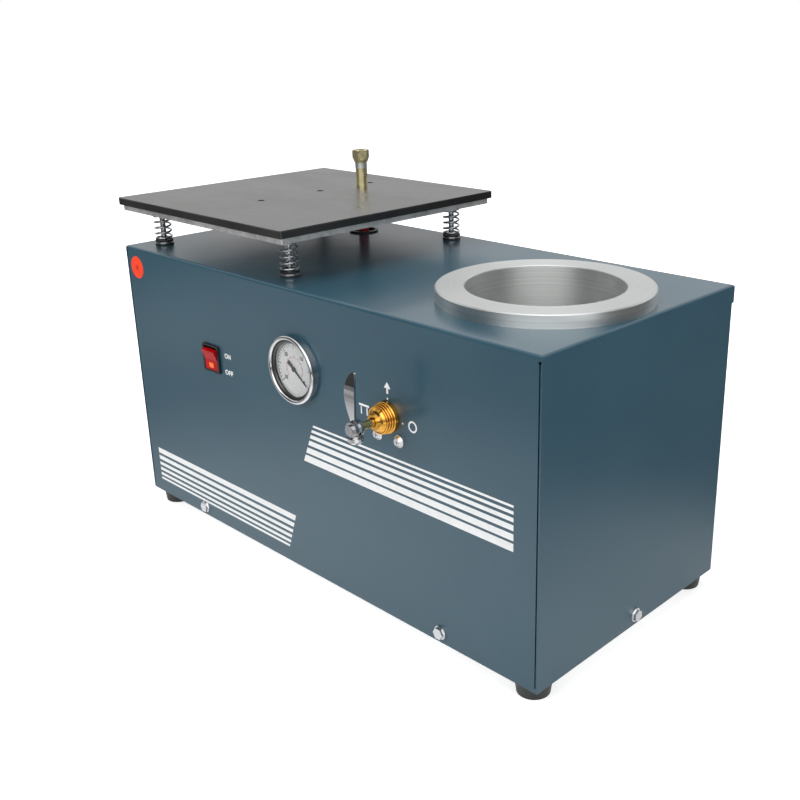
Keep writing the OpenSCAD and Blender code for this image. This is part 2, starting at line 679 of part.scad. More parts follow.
module pump_plate() in_cabinet() color(zinc) difference() {
    union() {
        block(motor_x0 - 4, tank_x0 + tank_l, pump_y - pump_plate_w / 2, pump_y + pump_plate_w / 2,
            pump_plate_z, pump_plate_z + pump_plate_t);
        // saddles below the motor
        for (x = [motor_x0 + saddle_inset, motor_x1 - saddle_inset - saddle_t])
            block(x, x + saddle_t, pump_y - saddle_w / 2, pump_y + saddle_w / 2,
                pump_plate_z + 1, pump_z - case_r * 0.6);
    }
    at_shaft() rod_x(motor_x0 - 10, motor_x1 + 1, case_r + seat);
    at_pump_mounts() rod_z(pump_plate_z - 1, pump_plate_z + pump_plate_t + 1, screw_r + 0.15);
}

module pump_mounts() in_cabinet() color(black) at_pump_mounts() {
    z0 = sheet_t + seat / 2;
    translate([0, 0, z0]) cylinder(h = mount_h / 2, r1 = 11, r2 = 8);
    translate([0, 0, z0 + mount_h / 2 - 0.01]) cylinder(h = mount_h / 2, r1 = 8, r2 = 11);
    rod_z(-1.5, z0 + 1, screw_r);
    rod_z(z0 + mount_h - 1, pump_plate_z + pump_plate_t + 6, screw_r);
}

module motor_case() in_cabinet() at_shaft() color(castgrey) difference() {
    union() {
        rod_x(motor_x0, motor_x1, case_r);
        // cooling fins round the upper two thirds
        for (a = [-125 : 10 : 125]) rotate([a, 0, 0])
            block(motor_x0 + 4, motor_x1 - 4, -1.1, 1.1, case_r - 2, motor_r);
        for (x = [motor_x0, motor_x1 - 8]) rod_x(x, x + 8, motor_r);
    }
    rod_x(motor_x0 - 1, motor_x1 + 1, case_r - 3);
}

stator_l = motor_l - 40;
stator_x = motor_x0 + 20;
stator_bore_r = motor_r * 0.58;
module motor_stator() in_cabinet() at_shaft() color([0.45, 0.22, 0.12]) {
    ring_x(stator_x, stator_x + stator_l, case_r - 3 - seat / 2, stator_bore_r);
    // heads of the winding
    for (x = [stator_x - 12, stator_x + stator_l - 0.1]) ring_x(x, x + 12.1, case_r - 7, stator_bore_r + 3);
}

module end_bell(x0, x1, seat_x) difference() {
    union() {
        rod_x(x0, x1, motor_r);
        rod_x(seat_x - 3, seat_x + bearing_t + 3, bearing_r + 5);
    }
    rod_x(seat_x, seat_x + bearing_t, bearing_r + 0.02);
    rod_x(x0 - 20, x1 + 20, shaft_r + 1.5);
    for (a = [30 : 60 : 330]) rotate([a, 0, 0]) translate([0, 0, motor_r * 0.68]) rod_x(x0 - 1, x1 + 1, 7);
}
rear_bearing_x = motor_x0 - bell_t + 2;
front_bearing_x = motor_x1 - 1;
module motor_end_bells() in_cabinet() at_shaft() color(castgrey) {
    end_bell(motor_x0 - bell_t, motor_x0 - 0.05, rear_bearing_x);
    end_bell(motor_x1 + 0.05, motor_x1 + bell_t, front_bearing_x);
}

module shaft_bearings() in_cabinet() at_shaft() color(steel) for (x = [rear_bearing_x, front_bearing_x])
    ring_x(x + 0.05, x + bearing_t - 0.05, bearing_r, shaft_r + fit);

fan_x0 = motor_x0 - bell_t - fan_l;
module fan_cover() in_cabinet() at_shaft() color(black) difference() {
    rod_x(fan_x0 - 4, motor_x0 - bell_t - 0.05, motor_r);
    rod_x(fan_x0 - 2, motor_x0, motor_r - 2);
    for (a = [0 : 30 : 330]) rotate([a, 0, 0]) block(fan_x0 - 5, fan_x0, -3, 3, 20, motor_r - 10);
}

module motor_shaft() in_cabinet() at_shaft() color(steel) rod_x(fan_x0 + 3, pump_x1 - 4, shaft_r);

module motor_rotor() in_cabinet() at_shaft() color(steel)
    ring_x(stator_x, stator_x + stator_l, stator_bore_r - 0.8, shaft_r + 0.02);

module cooling_fan() in_cabinet() at_shaft() color(black) {
    ring_x(fan_x0 + 4, fan_x0 + fan_l - 5, 16, shaft_r + 0.02);
    for (a = [0 : 45 : 315]) rotate([a, 0, 0]) translate([fan_x0 + 5, 0, 15]) rotate([0, 0, 18])
        block(0, 13, -1.2, 1.2, 0, motor_r - 24);
}

coupling_x = motor_x1 + bell_t + 6;
coupling_l = lantern_l - 14;
module shaft_coupling() in_cabinet() at_shaft() color(steel) difference() {
    union() {
        rod_x(coupling_x, coupling_x + coupling_l * 0.42, 21);
        rod_x(coupling_x + coupling_l * 0.58, coupling_x + coupling_l, 21);
        rod_x(coupling_x, coupling_x + coupling_l, 14);
    }
    rod_x(coupling_x - 1, coupling_x + coupling_l + 1, shaft_r + 0.02);
}

module bell_housing() in_cabinet() at_shaft() color(castgrey) difference() {
    union() {
        rod_x(motor_x1 + bell_t + 0.05, pump_x0 - 0.05, 34);
        rod_x(motor_x1 + bell_t + 0.05, motor_x1 + bell_t + 7, 54);
        rod_x(pump_x0 - 7, pump_x0 - 0.05, 46);
    }
    rod_x(motor_x1, pump_x0 + 1, 28);
    // windows to reach the coupling
    for (a = [45 : 90 : 315]) rotate([a, 0, 0]) block(motor_x1 + bell_t + 10, pump_x0 - 10, -12, 12, 0, 60);
}

module pump_housing() in_cabinet() at_shaft() color(castgrey) difference() {
    union() {
        translate([pump_x0, 0, 0]) rotate([90, 0, 90]) linear_extrude(pump_l)
            translate([-pump_side / 2, -pump_side / 2]) rounded(pump_side, pump_side, 9);
        // feet down to the pump plate
        for (y = [-36, 24]) block(pump_x0 + 6, pump_x1 - 6, y, y + 12,
            pump_plate_z + pump_plate_t - pump_z + 0.05, -pump_side / 2 + 3);
        translate([intake_x, 0, 0]) rod_z(pump_side / 2 - 1, pump_side / 2 + intake_boss_h, 15);
    }
    // cylinder, open towards the cover, with the shaft's bore behind it
    translate([0, 0, -cavity_drop]) rod_x(pump_x0 + 10, pump_x1 + 1, cavity_r);
    rod_x(pump_x0 - 1, pump_x1, shaft_r + fit);
    translate([intake_x, 0, 0]) rod_z(cavity_r - cavity_drop - 3, pump_side / 2 + 6, 5);
}

module pump_cover() in_cabinet() at_shaft() color(castgrey) difference() {
    translate([pump_x1 + 0.05, 0, 0]) rotate([90, 0, 90]) linear_extrude(cover_t - 0.1)
        translate([-pump_side / 2, -pump_side / 2]) rounded(pump_side, pump_side, 9);
    for (y = [-40, 40], z = [-40, 40]) translate([0, y, z]) rod_x(pump_x1 - 1, tank_x0 + 1, 3);
}

vane_t = 3;
vane_w = 13;
module pump_rotor() in_cabinet() at_shaft() color(steel) {
    difference() {
        rod_x(pump_x0 + 10.4, pump_x1 - 0.4, rotor_r);
        rod_x(pump_x0, pump_x1, shaft_r + 0.02);
        for (a = [0, 180]) rotate([a, 0, 0])
            block(pump_x0, pump_x1 + 1, -vane_t / 2 - 0.1, vane_t / 2 + 0.1, rotor_r - vane_w, rotor_r + 1);
    }
    // the two vanes in their slots
    for (a = [0, 180]) rotate([a, 0, 0])
        block(pump_x0 + 10.6, pump_x1 - 0.6, -vane_t / 2, vane_t / 2, rotor_r - vane_w + 0.1, rotor_r - 0.1);
}

glass_x = tank_x0 + 30;
glass_z = 40;
glass_r = 11;
module oil_reservoir() in_cabinet() translate([0, pump_y, tank_z0]) color(castgrey) difference() {
    union() {
        translate([tank_x0 + 0.05, 0, 0]) rotate([90, 0, 90]) linear_extrude(tank_l)
            translate([-pump_side / 2, 0]) rounded(pump_side, tank_h, 8);
        // boss of the sight glass, filler cap and drain plug
        translate([glass_x, -pump_side / 2, glass_z]) rod_y(-3, 4, glass_r + 5);
        translate([tank_x0 + 62, 0, tank_h - 2]) cylinder(h = 12, r = 12);
        translate([tank_x0 + 66, -pump_side / 2, 14]) rod_y(-7, 2, 7);
    }
    block(tank_x0 + 5, tank_x0 + tank_l - 5, -pump_side / 2 + 5, pump_side / 2 - 5, 5, tank_h - 5);
    translate([glass_x, -pump_side / 2, glass_z]) rod_y(-4, 8, glass_r);
    translate([glass_x, 0, 0]) rod_z(tank_h - 8, tank_h + 1, 14);
}

module oil_sight_glass() in_cabinet() color([0.85, 0.75, 0.4, 0.6])
    translate([glass_x, pump_y - pump_side / 2, tank_z0 + glass_z]) rod_y(-2.5, 2.5, glass_r - 0.1);

filter_h = 44;
module exhaust_filter() in_cabinet() color(steel) translate([glass_x, pump_y, tank_z0 + tank_h]) {
    rod_z(-6, 0.2, 13.8);
    rod_z(0.1, 4, 20);
    rod_z(3.9, filter_h, 18);
    translate([0, 0, filter_h]) cylinder(h = 4, r1 = 18, r2 = 12);
}

module pump_intake() in_cabinet() translate([intake_x, pump_y, intake_z + intake_boss_h]) color(brass) {
    difference() {
        hex_z(0.05, intake_hex_h, intake_af);
        rod_z(-1, intake_hex_h + 1, tail_bore_r);
        translate([0, 0, intake_hex_h / 2]) rod_y(-intake_af, 0, tail_bore_r);
    }
    translate([0, 0, intake_hex_h - 0.01]) hose_tail(16, 2.01, barb_l);
    translate([0, -intake_af / 2 + 0.1, intake_hex_h / 2]) rotate([90, 0, 0]) hose_tail(12, 3.1, barb_l - 3);
}

capacitor_r = 17;
module start_capacitor() in_cabinet() at_shaft() color(black) {
    z = motor_r + capacitor_r + 4;
    translate([0, 0, z]) rod_x(motor_x0 + 14, motor_x1 - 14, capacitor_r);
    for (x = [motor_x0 + 26, motor_x1 - 34]) difference() {
        block(x, x + 8, -12, 12, motor_r - 1.9, z);
        translate([0, 0, z]) rod_x(x - 1, x + 9, capacitor_r - 1);
        rod_x(x - 1, x + 9, motor_r + seat / 2);
    }
    for (s = [-1, 1]) block(motor_x1 - 14.1, motor_x1 - 6, s * 6 - 0.5, s * 6 + 0.5, z - 3, z + 3);
}

// ---------------------------------------------------------------- selector valve

port_reach = valve_body_r - 2;
module valve_body() in_cabinet() at_valve() color(brass) difference() {
    union() {
        rod_y(sheet_t + seat, valve_body_l, valve_body_r);
        rod_y(-bonnet_h * 0.6, sheet_t + 1, neck_r);
        // table port on the left, chamber port on the right, pump port at the rear
        translate([0, port_y, 0]) for (a = [-90, 90]) rotate([0, a, 0])
            translate([0, 0, port_reach]) hose_tail(15, hex_l, barb_l);
        translate([0, valve_body_l - 0.01, 0]) rotate([-90, 0, 0]) hose_tail(15, hex_l, barb_l);
        // release port at the top, with its muffler
        translate([0, port_y, 0]) hex_z(port_reach, port_reach + hex_l, 15);
        translate([0, port_y, 0]) rod_z(port_reach + hex_l - 0.01, port_reach + hex_l + 12, 6);
    }
    rod_y(-bonnet_h, sheet_t + 8, stem_r + fit);
    rod_y(sheet_t + 7, valve_body_l - 6, plug_r + fit);
    rod_y(valve_body_l - 7, valve_body_l + 2, 4);
    translate([0, port_y, 0]) for (a = [-90, 0, 90]) rotate([0, a, 0]) rod_z(plug_r - 1, port_reach + 2, 4);
}

// Plug with its stem, in one piece
stem_y0 = -lever_y - hub_l / 2 - 1;
module valve_plug() in_cabinet() at_valve() color(brass) difference() {
    union() {
        rod_y(stem_y0, sheet_t + 8, stem_r);
        rod_y(sheet_t + 7.3, valve_body_l - 6.3, plug_r);
    }
    rod_y(port_y - 4, valve_body_l, 4);
    translate([0, port_y, 0]) rod_z(0, plug_r + 1, 4);
}

// Ridged cap nut: a smooth collar at the front panel, three ridges, each smaller than the one
// behind it, and a cone that ends in the stem's collar
collar_h = bonnet_h * 0.36;
ridge = bonnet_h * 0.15;
cone_z = collar_h + 3 * ridge;
function body_r(z) = bonnet_r - 1.6 - (z - collar_h) * 0.24;
module valve_bonnet() in_cabinet() at_valve() color(brass) rotate([90, 0, 0]) rotate_extrude() {
    gap_r = stem_r + 0.6;
    difference() {
        union() {
            translate([0, 0.05]) square([bonnet_r, collar_h - 1.55]);
            square([bonnet_r - 1.5, collar_h]);
            translate([bonnet_r - 1.5, collar_h - 1.5]) circle(1.5, $fn = 24);
            for (i = [0 : 2]) translate([body_r(collar_h + ridge * i) - 0.2, collar_h + ridge * (i + 0.5)])
                circle(ridge * 0.45, $fn = 24);
            polygon([[0, collar_h - 0.1], [body_r(collar_h), collar_h - 0.1], [body_r(cone_z) - 0.4, cone_z],
                [body_r(cone_z) - 2.2, cone_z + (bonnet_h - cone_z) * 0.6], [gap_r + 3.2, bonnet_h],
                [gap_r + 2.2, bonnet_h + 3], [0, bonnet_h + 3]]);
        }
        translate([0, -1]) square([neck_r + 0.05, bonnet_h * 0.6 + 1.2]);
        square([gap_r, bonnet_h + 4]);
    }
}

// Plate behind the front, and a shelf with a cradle under the valve
cradle_w = 16;
module valve_bracket() in_cabinet() at_valve() color(zinc) difference() {
    union() {
        block(-24, 24, sheet_t + 0.05, sheet_t + 3, valve_screw_z - 8, -valve_body_r - 0.4);
        block(-24, 24, sheet_t + 0.05, valve_body_l - 4, valve_screw_z - 8, valve_screw_z - 5);
        block(-cradle_w / 2, cradle_w / 2, 14, valve_body_l - 4, valve_screw_z - 5.1, -valve_body_r + 2);
    }
    for (x = [-valve_screw_x, valve_screw_x]) translate([x, 0, valve_screw_z])
        rod_y(0, sheet_t + 6, screw_r + 0.15);
    rod_y(0, valve_body_l, valve_body_r + seat);
}

module valve_screws() in_cabinet() color(chrome) at_valve_screws() rotate([90, 0, 0]) {
    translate([0, 0, 0.05]) cylinder(h = 1, r = 6);
    difference() {
        translate([0, 0, 1]) cylinder(h = 3, r1 = 5.6, r2 = 3.6);
        for (a = [0, 90]) rotate([0, 0, a]) block(-3, 3, -0.5, 0.5, 2.6, 5);
    }
    rod_z(-9, 0.1, screw_r);
}

// Outline of the lever's blade in the X-Z plane: a leaf, narrow at the hub, widest above the middle
module blade_outline() {
    waist = lever_w * 0.34;
    belly_z = lever_l * 0.62;
    polygon([
        for (t = [0 : 0.1 : 1]) [waist / 2 + (lever_w - waist) / 2 * (1 - cos(180 * t)) / 2, belly_z * t],
        for (t = [0.1 : 0.1 : 0.9]) [lever_w / 2 * cos(90 * t), belly_z + (lever_l - belly_z) * sin(90 * t)],
        [0, lever_l],
        for (t = [0.9 : -0.1 : 0.1])
            [-lever_w / 2 * cos(90 * t), belly_z + (lever_l - belly_z) * sin(90 * t)],
        for (t = [1 : -0.1 : 0]) [-waist / 2 - (lever_w - waist) / 2 * (1 - cos(180 * t)) / 2, belly_z * t]
    ]);
}

// Side view of the blade: bowed away from the front, its tip back towards it; t runs from 0 to 1
bow = 4;
function blade_y(t) = -lever_y - bow * sin(145 * t + 57 * pow(t, 6));
module blade_bow() {
    steps = 14;
    polygon(concat(
        [for (k = [0 : steps]) [blade_y(k / steps) - lever_t / 2, lever_l * k / steps]],
        [for (k = [steps : -1 : 0]) [blade_y(k / steps) + lever_t / 2, lever_l * k / steps]]));
}

hub_r = 7.5;
hub_rim = 3.4;
nut_wall = 1.2;
set_screw_r = 2;
screw_seat_z = -hub_r - 0.4;
module valve_lever() in_cabinet() at_valve() color(chrome) {
    intersection() {
        rotate([90, 0, 0]) linear_extrude(2 * lever_y) blade_outline();
        translate([-lever_w, 0, 0]) rotate([90, 0, 90]) linear_extrude(2 * lever_w) blade_bow();
        difference() {
            block(-lever_w, lever_w, -2 * lever_y, 0, 0, lever_l + 1);
            rod_y(-lever_y - hub_l, -lever_y + hub_l, stem_r + 1);
        }
    }
    translate([0, -lever_y, 0]) difference() {
        union() {
            // hub with two rims and a groove, and the nut's cap in front
            rod_y(-hub_l / 2, -hub_l / 2 + hub_rim, hub_r);
            rod_y(hub_l / 2 - hub_rim, hub_l / 2, hub_r);
            rod_y(-hub_l / 2, hub_l / 2, hub_r - 1.8);
            rod_y(-hub_l / 2 - lever_nut_l, -hub_l / 2 + 0.01, hub_r - 2.5);
            rod_z(screw_seat_z, -stem_r - 1, hub_l / 2);
        }
        rod_y(-hub_l / 2 - lever_nut_l + nut_wall, hub_l / 2 + 1, stem_r + 0.02);
        rod_z(screw_seat_z - 1, 0, set_screw_r + 0.05);
    }
}

module lever_screw() in_cabinet() color(chrome) at_valve() translate([0, -lever_y, screw_seat_z]) {
    head_h = 5.6;
    translate([0, 0, -head_h]) cylinder(h = 2.6, r1 = lever_screw_r - 2.4, r2 = lever_screw_r);
    rod_z(-head_h + 2.59, -0.05, lever_screw_r);
    rod_z(-0.1, -screw_seat_z - stem_r - 0.05, set_screw_r);
}

// ---------------------------------------------------------------- vacuum gauge

// Rounded ring on a narrower foot, with a wall that slopes down to the lens
module gauge_bezel() in_cabinet() at_gauge() color(chrome) rotate([90, 0, 0]) rotate_extrude($fn = 96) {
    edge = bezel_ring_t / 2;
    rim_x = bezel_r - edge;
    rim_y = bezel_h - edge;
    foot_r = gauge_case_r + 1.5;
    seat_r = gauge_case_r + 0.1;
    inner_wall = [[seat_r, bezel_h - bezel_lip_t], [opening_r, bezel_h - bezel_lip_t],
        [opening_r + 2, bezel_h - 0.4], [opening_r + 2.6, bezel_h]];
    round_edge = [for (a = [90:-9:-90]) [rim_x + edge * cos(a), rim_y + edge * sin(a)]];
    foot = [[foot_r, bezel_h - bezel_ring_t], [foot_r, 0.05], [seat_r, 0.05]];
    polygon(concat(inner_wall, round_edge, foot));
}

module gauge_lens() in_cabinet() at_gauge() color([0.85, 0.92, 0.95, 0.3])
    rod_y(lens_y, lens_y + lens_t, gauge_case_r - 0.1);

module gauge_case() in_cabinet() at_gauge() color(black) {
    difference() {
        rod_y(case_y, gauge_case_d, gauge_case_r);
        rod_y(case_y - 1, gauge_case_d - 2, gauge_case_r - case_wall);
        rod_y(0, gauge_case_d + 1, tail_bore_r);
    }
    // shelf behind the dial
    ring_y(dial_y + dial_t + 0.05, dial_y + dial_t + 2, gauge_case_r - case_wall + 0.1, gauge_case_r - 4);
    // boss, thread and hose tail
    translate([0, gauge_case_d - 0.05, 0]) rotate([-90, 0, 0]) {
        ring_z(0, gauge_boss_t, 9, tail_bore_r);
        ring_z(gauge_boss_t - 0.05, gauge_boss_t + gauge_thread_l - 0.5, gauge_thread_r, tail_bore_r);
        translate([0, 0, gauge_boss_t + gauge_thread_l - 1]) hose_tail(10, 1, barb_l - 3);
    }
}

module gauge_dial() in_cabinet() at_gauge() color([0.93, 0.93, 0.94])
    ring_y(dial_y, dial_y + dial_t, dial_r, 2 * arbor_r);

// Plate with the spindle's bush, and the curved tube that moves the needle
module gauge_movement() in_cabinet() at_gauge() color(brass) {
    tube_r = gauge_case_r - 10.5;
    difference() {
        union() {
            block(-12, 12, movement_y, movement_y + 2, -16, 12);
            block(-5, 5, movement_y + 1.9, gauge_case_d - 2.05, -16, -9);
        }
        rod_y(movement_y - 1, movement_y + 3, arbor_r + fit);
    }
    translate([0, 14, 0]) rotate([90, 94, 0]) rotate_extrude(angle = 250)
        translate([tube_r, -3]) square([2.4, 6]);
    block(-3, 3, 11, 17, -tube_r - 2, -15.9);
}

// Strap across the back of the case, its two legs against the front, and the nut that draws it up
module gauge_clamp() in_cabinet() at_gauge() color(zinc) {
    strap_y = gauge_case_d + gauge_boss_t;
    leg_x = gauge_case_r + 4;
    difference() {
        union() {
            block(-leg_x - 1, leg_x + 1, strap_y, strap_y + 2, -9, 9);
            for (s = [-1, 1]) translate([s * leg_x, 0, 0]) block(-1, 1, sheet_t + 0.05, strap_y + 0.1, -9, 9);
        }
        rod_y(0, strap_y + 20, gauge_thread_r + 0.3);
    }
    difference() {
        translate([0, strap_y + 2.05, 0]) rotate([-90, 0, 0]) hex_z(0, gauge_thread_l - 2.8, 17);
        rod_y(0, strap_y + 20, gauge_thread_r + 0.04);
    }
}

module gauge_needle() in_cabinet() at_gauge() color(black) {
    // tapered pointer with its counterweight
    rotate([0, needle_rest, 0]) translate([0, needle_y, 0]) rotate([90, 0, 0]) linear_extrude(0.5)
        polygon([[0, -1.3], [needle_l, -0.35], [needle_l, 0.35], [0, 1.3],
            [-8, 2.1], [-11, 2.1], [-11, -2.1], [-8, -2.1]]);
    rod_y(needle_y - 1, needle_y, 2.6);
    rod_y(needle_y - 0.1, movement_y + 2.4, arbor_r);
}

// ---------------------------------------------------------------- switch

module switch_body() in_cabinet() at_switch() color(black) difference() {
    union() {
        rotate([90, 0, 0]) linear_extrude(bezel_t)
            translate([-switch_w / 2, -switch_h / 2]) rounded(switch_w, switch_h, 2);
        block(-switch_w / 2 + switch_wall, switch_w / 2 - switch_wall, -0.1, switch_depth - 8,
            -switch_h / 2 + switch_wall, switch_h / 2 - switch_wall);
        for (z = [-8, 0, 8], x = [-6, 6]) block(x - 0.4, x + 0.4, switch_depth - 8.1, switch_depth,
            z - 2.4, z + 2.4);
    }
    block(-rocker_w / 2 - rocker_gap, rocker_w / 2 + rocker_gap, -bezel_t - 1, 16,
        -rocker_h / 2 - rocker_gap, rocker_h / 2 + rocker_gap);
    translate([0, rocker_pivot_y, 0]) rod_x(-rocker_w / 2 - 2, rocker_w / 2 + 2, 1.6 + fit);
}

// Side view of the rocker in its middle place: two flats that meet in a shallow valley
module rocker_outline() {
    h = rocker_h / 2 - 1.4;
    polygon([[-bezel_t - 2, h], [-bezel_t, 0], [-bezel_t - 2, -h], [1.5, -h], [9, -4], [9, 4], [1.5, h]]);
}

module switch_rocker() in_cabinet() at_switch() color(red) translate([0, rocker_pivot_y, 0]) {
    rotate([rocker_tilt, 0, 0]) translate([-rocker_w / 2, -rocker_pivot_y, 0])
        rotate([90, 0, 90]) linear_extrude(rocker_w) rocker_outline();
    rod_x(-rocker_w / 2 - 1.8, rocker_w / 2 + 1.8, 1.6);
}

// ---------------------------------------------------------------- investing table

// Rubber, steel ring and rubber under each spring, and the grommet of the hose
module stud_cushions() in_cabinet() {
    at_studs() {
        color(black) ring_z(top_z + 0.05, top_z + cushion_low_t, cushion_r, stud_hole_r);
        color(zinc) ring_z(top_z + cushion_low_t + 0.02, top_z + cushion_low_t + cushion_ring_t,
            cushion_r - 1.6, stud_hole_r);
        color(black) ring_z(top_z + cushion_h - cushion_high_t + 0.02, top_z + cushion_h,
            cushion_r - 0.4, stud_hole_r);
    }
    color(black) at_pipe() {
        ring_z(inner_top_z - 2, inner_top_z - 0.05, hose_hole_r, grommet_r);
        ring_z(inner_top_z - 0.1, top_z + 0.1, hose_hole_r - 2.6, grommet_r);
        ring_z(top_z + 0.05, top_z + 2, hose_hole_r, grommet_r);
    }
}

module table_holes(r, tube_r) {
    at_pipe() rod_z(plate_z - 1, pad_top_z + 1, tube_r);
    for (y = vent_ys) at_table() translate([vent_x, y, 0]) rod_z(plate_z - 1, pad_top_z + 1, r);
}

module table_plate() in_cabinet() color(alu) difference() {
    at_table() translate([0, 0, plate_z]) rounded_plate(plate_side, plate_side, plate_t - 0.05, 2);
    table_holes(vent_d / 2 - 1, pipe_d / 2 + 0.05);
    at_studs() rod_z(plate_z - 1, plate_z + plate_t - 1, stud_d / 2 + 0.02);
}

module table_pad() in_cabinet() color(black) difference() {
    at_table() translate([0, 0, pad_z]) rounded_plate(pad_side, pad_side, pad_t, 2);
    table_holes(vent_d / 2, pipe_d / 2 + 0.2);
}

stop_z = inner_top_z - seat;
module table_studs() in_cabinet() at_studs() {
    color(chrome) rod_z(stop_z - stop_washer_t - nut_h - stud_tail, plate_z + plate_t - 1.1, stud_d / 2);
    color(black) ring_z(stop_z - stop_washer_t, stop_z, cushion_r, stud_d / 2 + 0.02);
    color(zinc) difference() {
        hex_z(stop_z - stop_washer_t - nut_h, stop_z - stop_washer_t - 0.05, nut_af);
        rod_z(0, top_z, stud_d / 2 + 0.02);
    }
}

neck_h = 7;
cap_taper_h = cap_h * 0.45;
module stand_pipe() in_cabinet() at_pipe() color(brass) difference() {
    union() {
        rod_z(plate_z - 0.1, pad_top_z + pipe_h - cap_h - neck_h + 0.1, pipe_d / 2);
        rod_z(pad_top_z + pipe_h - cap_h - neck_h, pad_top_z + pipe_h - cap_h + 0.1, pipe_d / 2 + 0.2);
        // cap, drawn in towards the pipe, its top edge softened
        intersection() {
            hex_z(pad_top_z + pipe_h - cap_h, pad_top_z + pipe_h, cap_af);
            translate([0, 0, pad_top_z + pipe_h - cap_h]) {
                cylinder(h = cap_taper_h, r1 = pipe_d / 2 + 0.8, r2 = cap_af / 2 + 1.5);
                translate([0, 0, cap_taper_h - 0.01])
                    cylinder(h = cap_h - cap_taper_h - 1, r = cap_af / 2 + 1.5);
                translate([0, 0, cap_h - 1.02])
                    cylinder(h = 1.02, r1 = cap_af / 2 + 1.5, r2 = cap_af / 2 + 0.4);
            }
        }
        translate([0, 0, plate_z - 0.05]) rotate([180, 0, 0]) hose_tail(20, tail_hex_h - 0.05, tail_l);
    }
    rod_z(plate_z - 0.01, pad_top_z + pipe_h + 1, pipe_bore_d / 2);
    rod_z(plate_z - tail_hex_h - tail_l - 1, plate_z, tail_bore_r);
}

module table_springs() in_cabinet() at_studs() color(zinc) translate([0, 0, spring_z0]) table_spring();

module table_hose_upper() in_cabinet() at_pipe() color(red)
    ring_z(lower_hose_z + 0.05, upper_hose_z - seat, hose_d / 2, hose_bore_d / 2);

// ---------------------------------------------------------------- hoses inside the cabinet

left_port = [valve_x - port_reach - hex_l, port_y, valve_z];
right_port = [valve_x + port_reach + hex_l, port_y, valve_z];
rear_port = [valve_x, valve_body_l + hex_l, valve_z];
pump_port = [intake_x, pump_y, intake_z + intake_boss_h + intake_hex_h + 2 + seat];
side_port = [intake_x, pump_y - intake_af / 2 - 3, intake_z + intake_boss_h + intake_hex_h / 2];
chamber_port = [pot_port_x - hex_l - 0.1, chamber_y, pot_port_z];
gauge_port = [gauge_x, gauge_case_d + gauge_boss_t + gauge_thread_l, gauge_z];

// Hose from one tail to another, straight over both of them
tail_lead = barb_l + 1;
hose_steps = 3;
module inner_hose(start, first, points, end, last) hose(concat([start],
    smooth(concat([start + tail_lead * first], points, [end - tail_lead * last]), hose_steps, first, last),
    [end]), hose_d, hose_bore_d);

// Points of a route as shares of the way from a to b, in x, y and z
function way(a, b, shares) = [for (s = shares) [for (i = [0 : 2]) a[i] + s[i] * (b[i] - a[i])]];

pipe_port = [pipe_x - table_x, table_y + pipe_y, lower_hose_z];
module table_hose_lower() in_cabinet() color(red) inner_hose(
    pipe_port, [0, 0, -1],
    way(pipe_port, left_port,
        [[0.085, 0.06, 0.72], [0.48, 0.37, 0.77], [0.715, 0.73, 0.79], [0.85, 0.95, 0.94]]),
    left_port - [seat, 0, 0], [1, 0, 0]);

module pump_hose() in_cabinet() color(red) inner_hose(
    pump_port, [0, 0, 1],
    way(pump_port, rear_port,
        [[0.105, 0.15, 1.15], [0.455, 0.48, 0.85], [0.755, 0.59, 0.79], [0.935, 0.63, 0.94]]),
    rear_port + [0, seat, 0], [0, -1, 0]);

module chamber_hose() in_cabinet() color(red) inner_hose(
    right_port + [seat, 0, 0], [1, 0, 0],
    way(right_port, chamber_port, [[-0.81, 0.02, 0.17], [-0.47, 0.07, 0.535], [0.885, 0.22, 0.84],
        [1.83, 0.585, 0.99], [1.83, 0.86, 1]]),
    chamber_port, [1, 0, 0]);

module gauge_line() in_cabinet() color(black) inner_hose(
    side_port - [0, seat, 0], [0, -1, 0],
    way(side_port, gauge_port, [[0.13, 0.41, 0.32], [0.63, 0.535, 0.82], [0.955, 0.68, 0.97]]),
    gauge_port + [0, seat, 0], [0, -1, 0]);

// ---------------------------------------------------------------- nodes

cabinet_cover();
base_pan();
back_panel();
cover_screws();
rear_screws();
rubber_feet();
foot_screws();
power_inlet();
chamber_ring();
chamber_gasket();
chamber_pot();
chamber_bolts();
chamber_fitting();
pump_plate();
pump_mounts();
motor_case();
motor_stator();
motor_end_bells();
shaft_bearings();
fan_cover();
start_capacitor();
bell_housing();
pump_housing();
pump_cover();
oil_reservoir();
oil_sight_glass();
exhaust_filter();
pump_intake();
motor_shaft();
motor_rotor();
cooling_fan();
shaft_coupling();
pump_rotor();
valve_body();
valve_bonnet();
valve_bracket();
valve_screws();
valve_plug();
valve_lever();
lever_screw();
gauge_case();
gauge_movement();
gauge_dial();
gauge_bezel();
gauge_lens();
gauge_clamp();
gauge_needle();
switch_body();
switch_rocker();
stud_cushions();
table_plate();
table_pad();
table_studs();
stand_pipe();
table_springs();
table_hose_upper();
table_hose_lower();
pump_hose();
chamber_hose();
gauge_line();
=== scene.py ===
"""Looks of a bench vacuum casting machine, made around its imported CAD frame.

Sizes of pieces are in millimetres in the cabinet's own frame: x from its middle, y back from
its front face, z up from its bottom. place() turns them into metres in the row frame.
"""
import math

import bmesh
import bpy
from mathutils import Matrix, Vector
from mathutils.geometry import tessellate_polygon


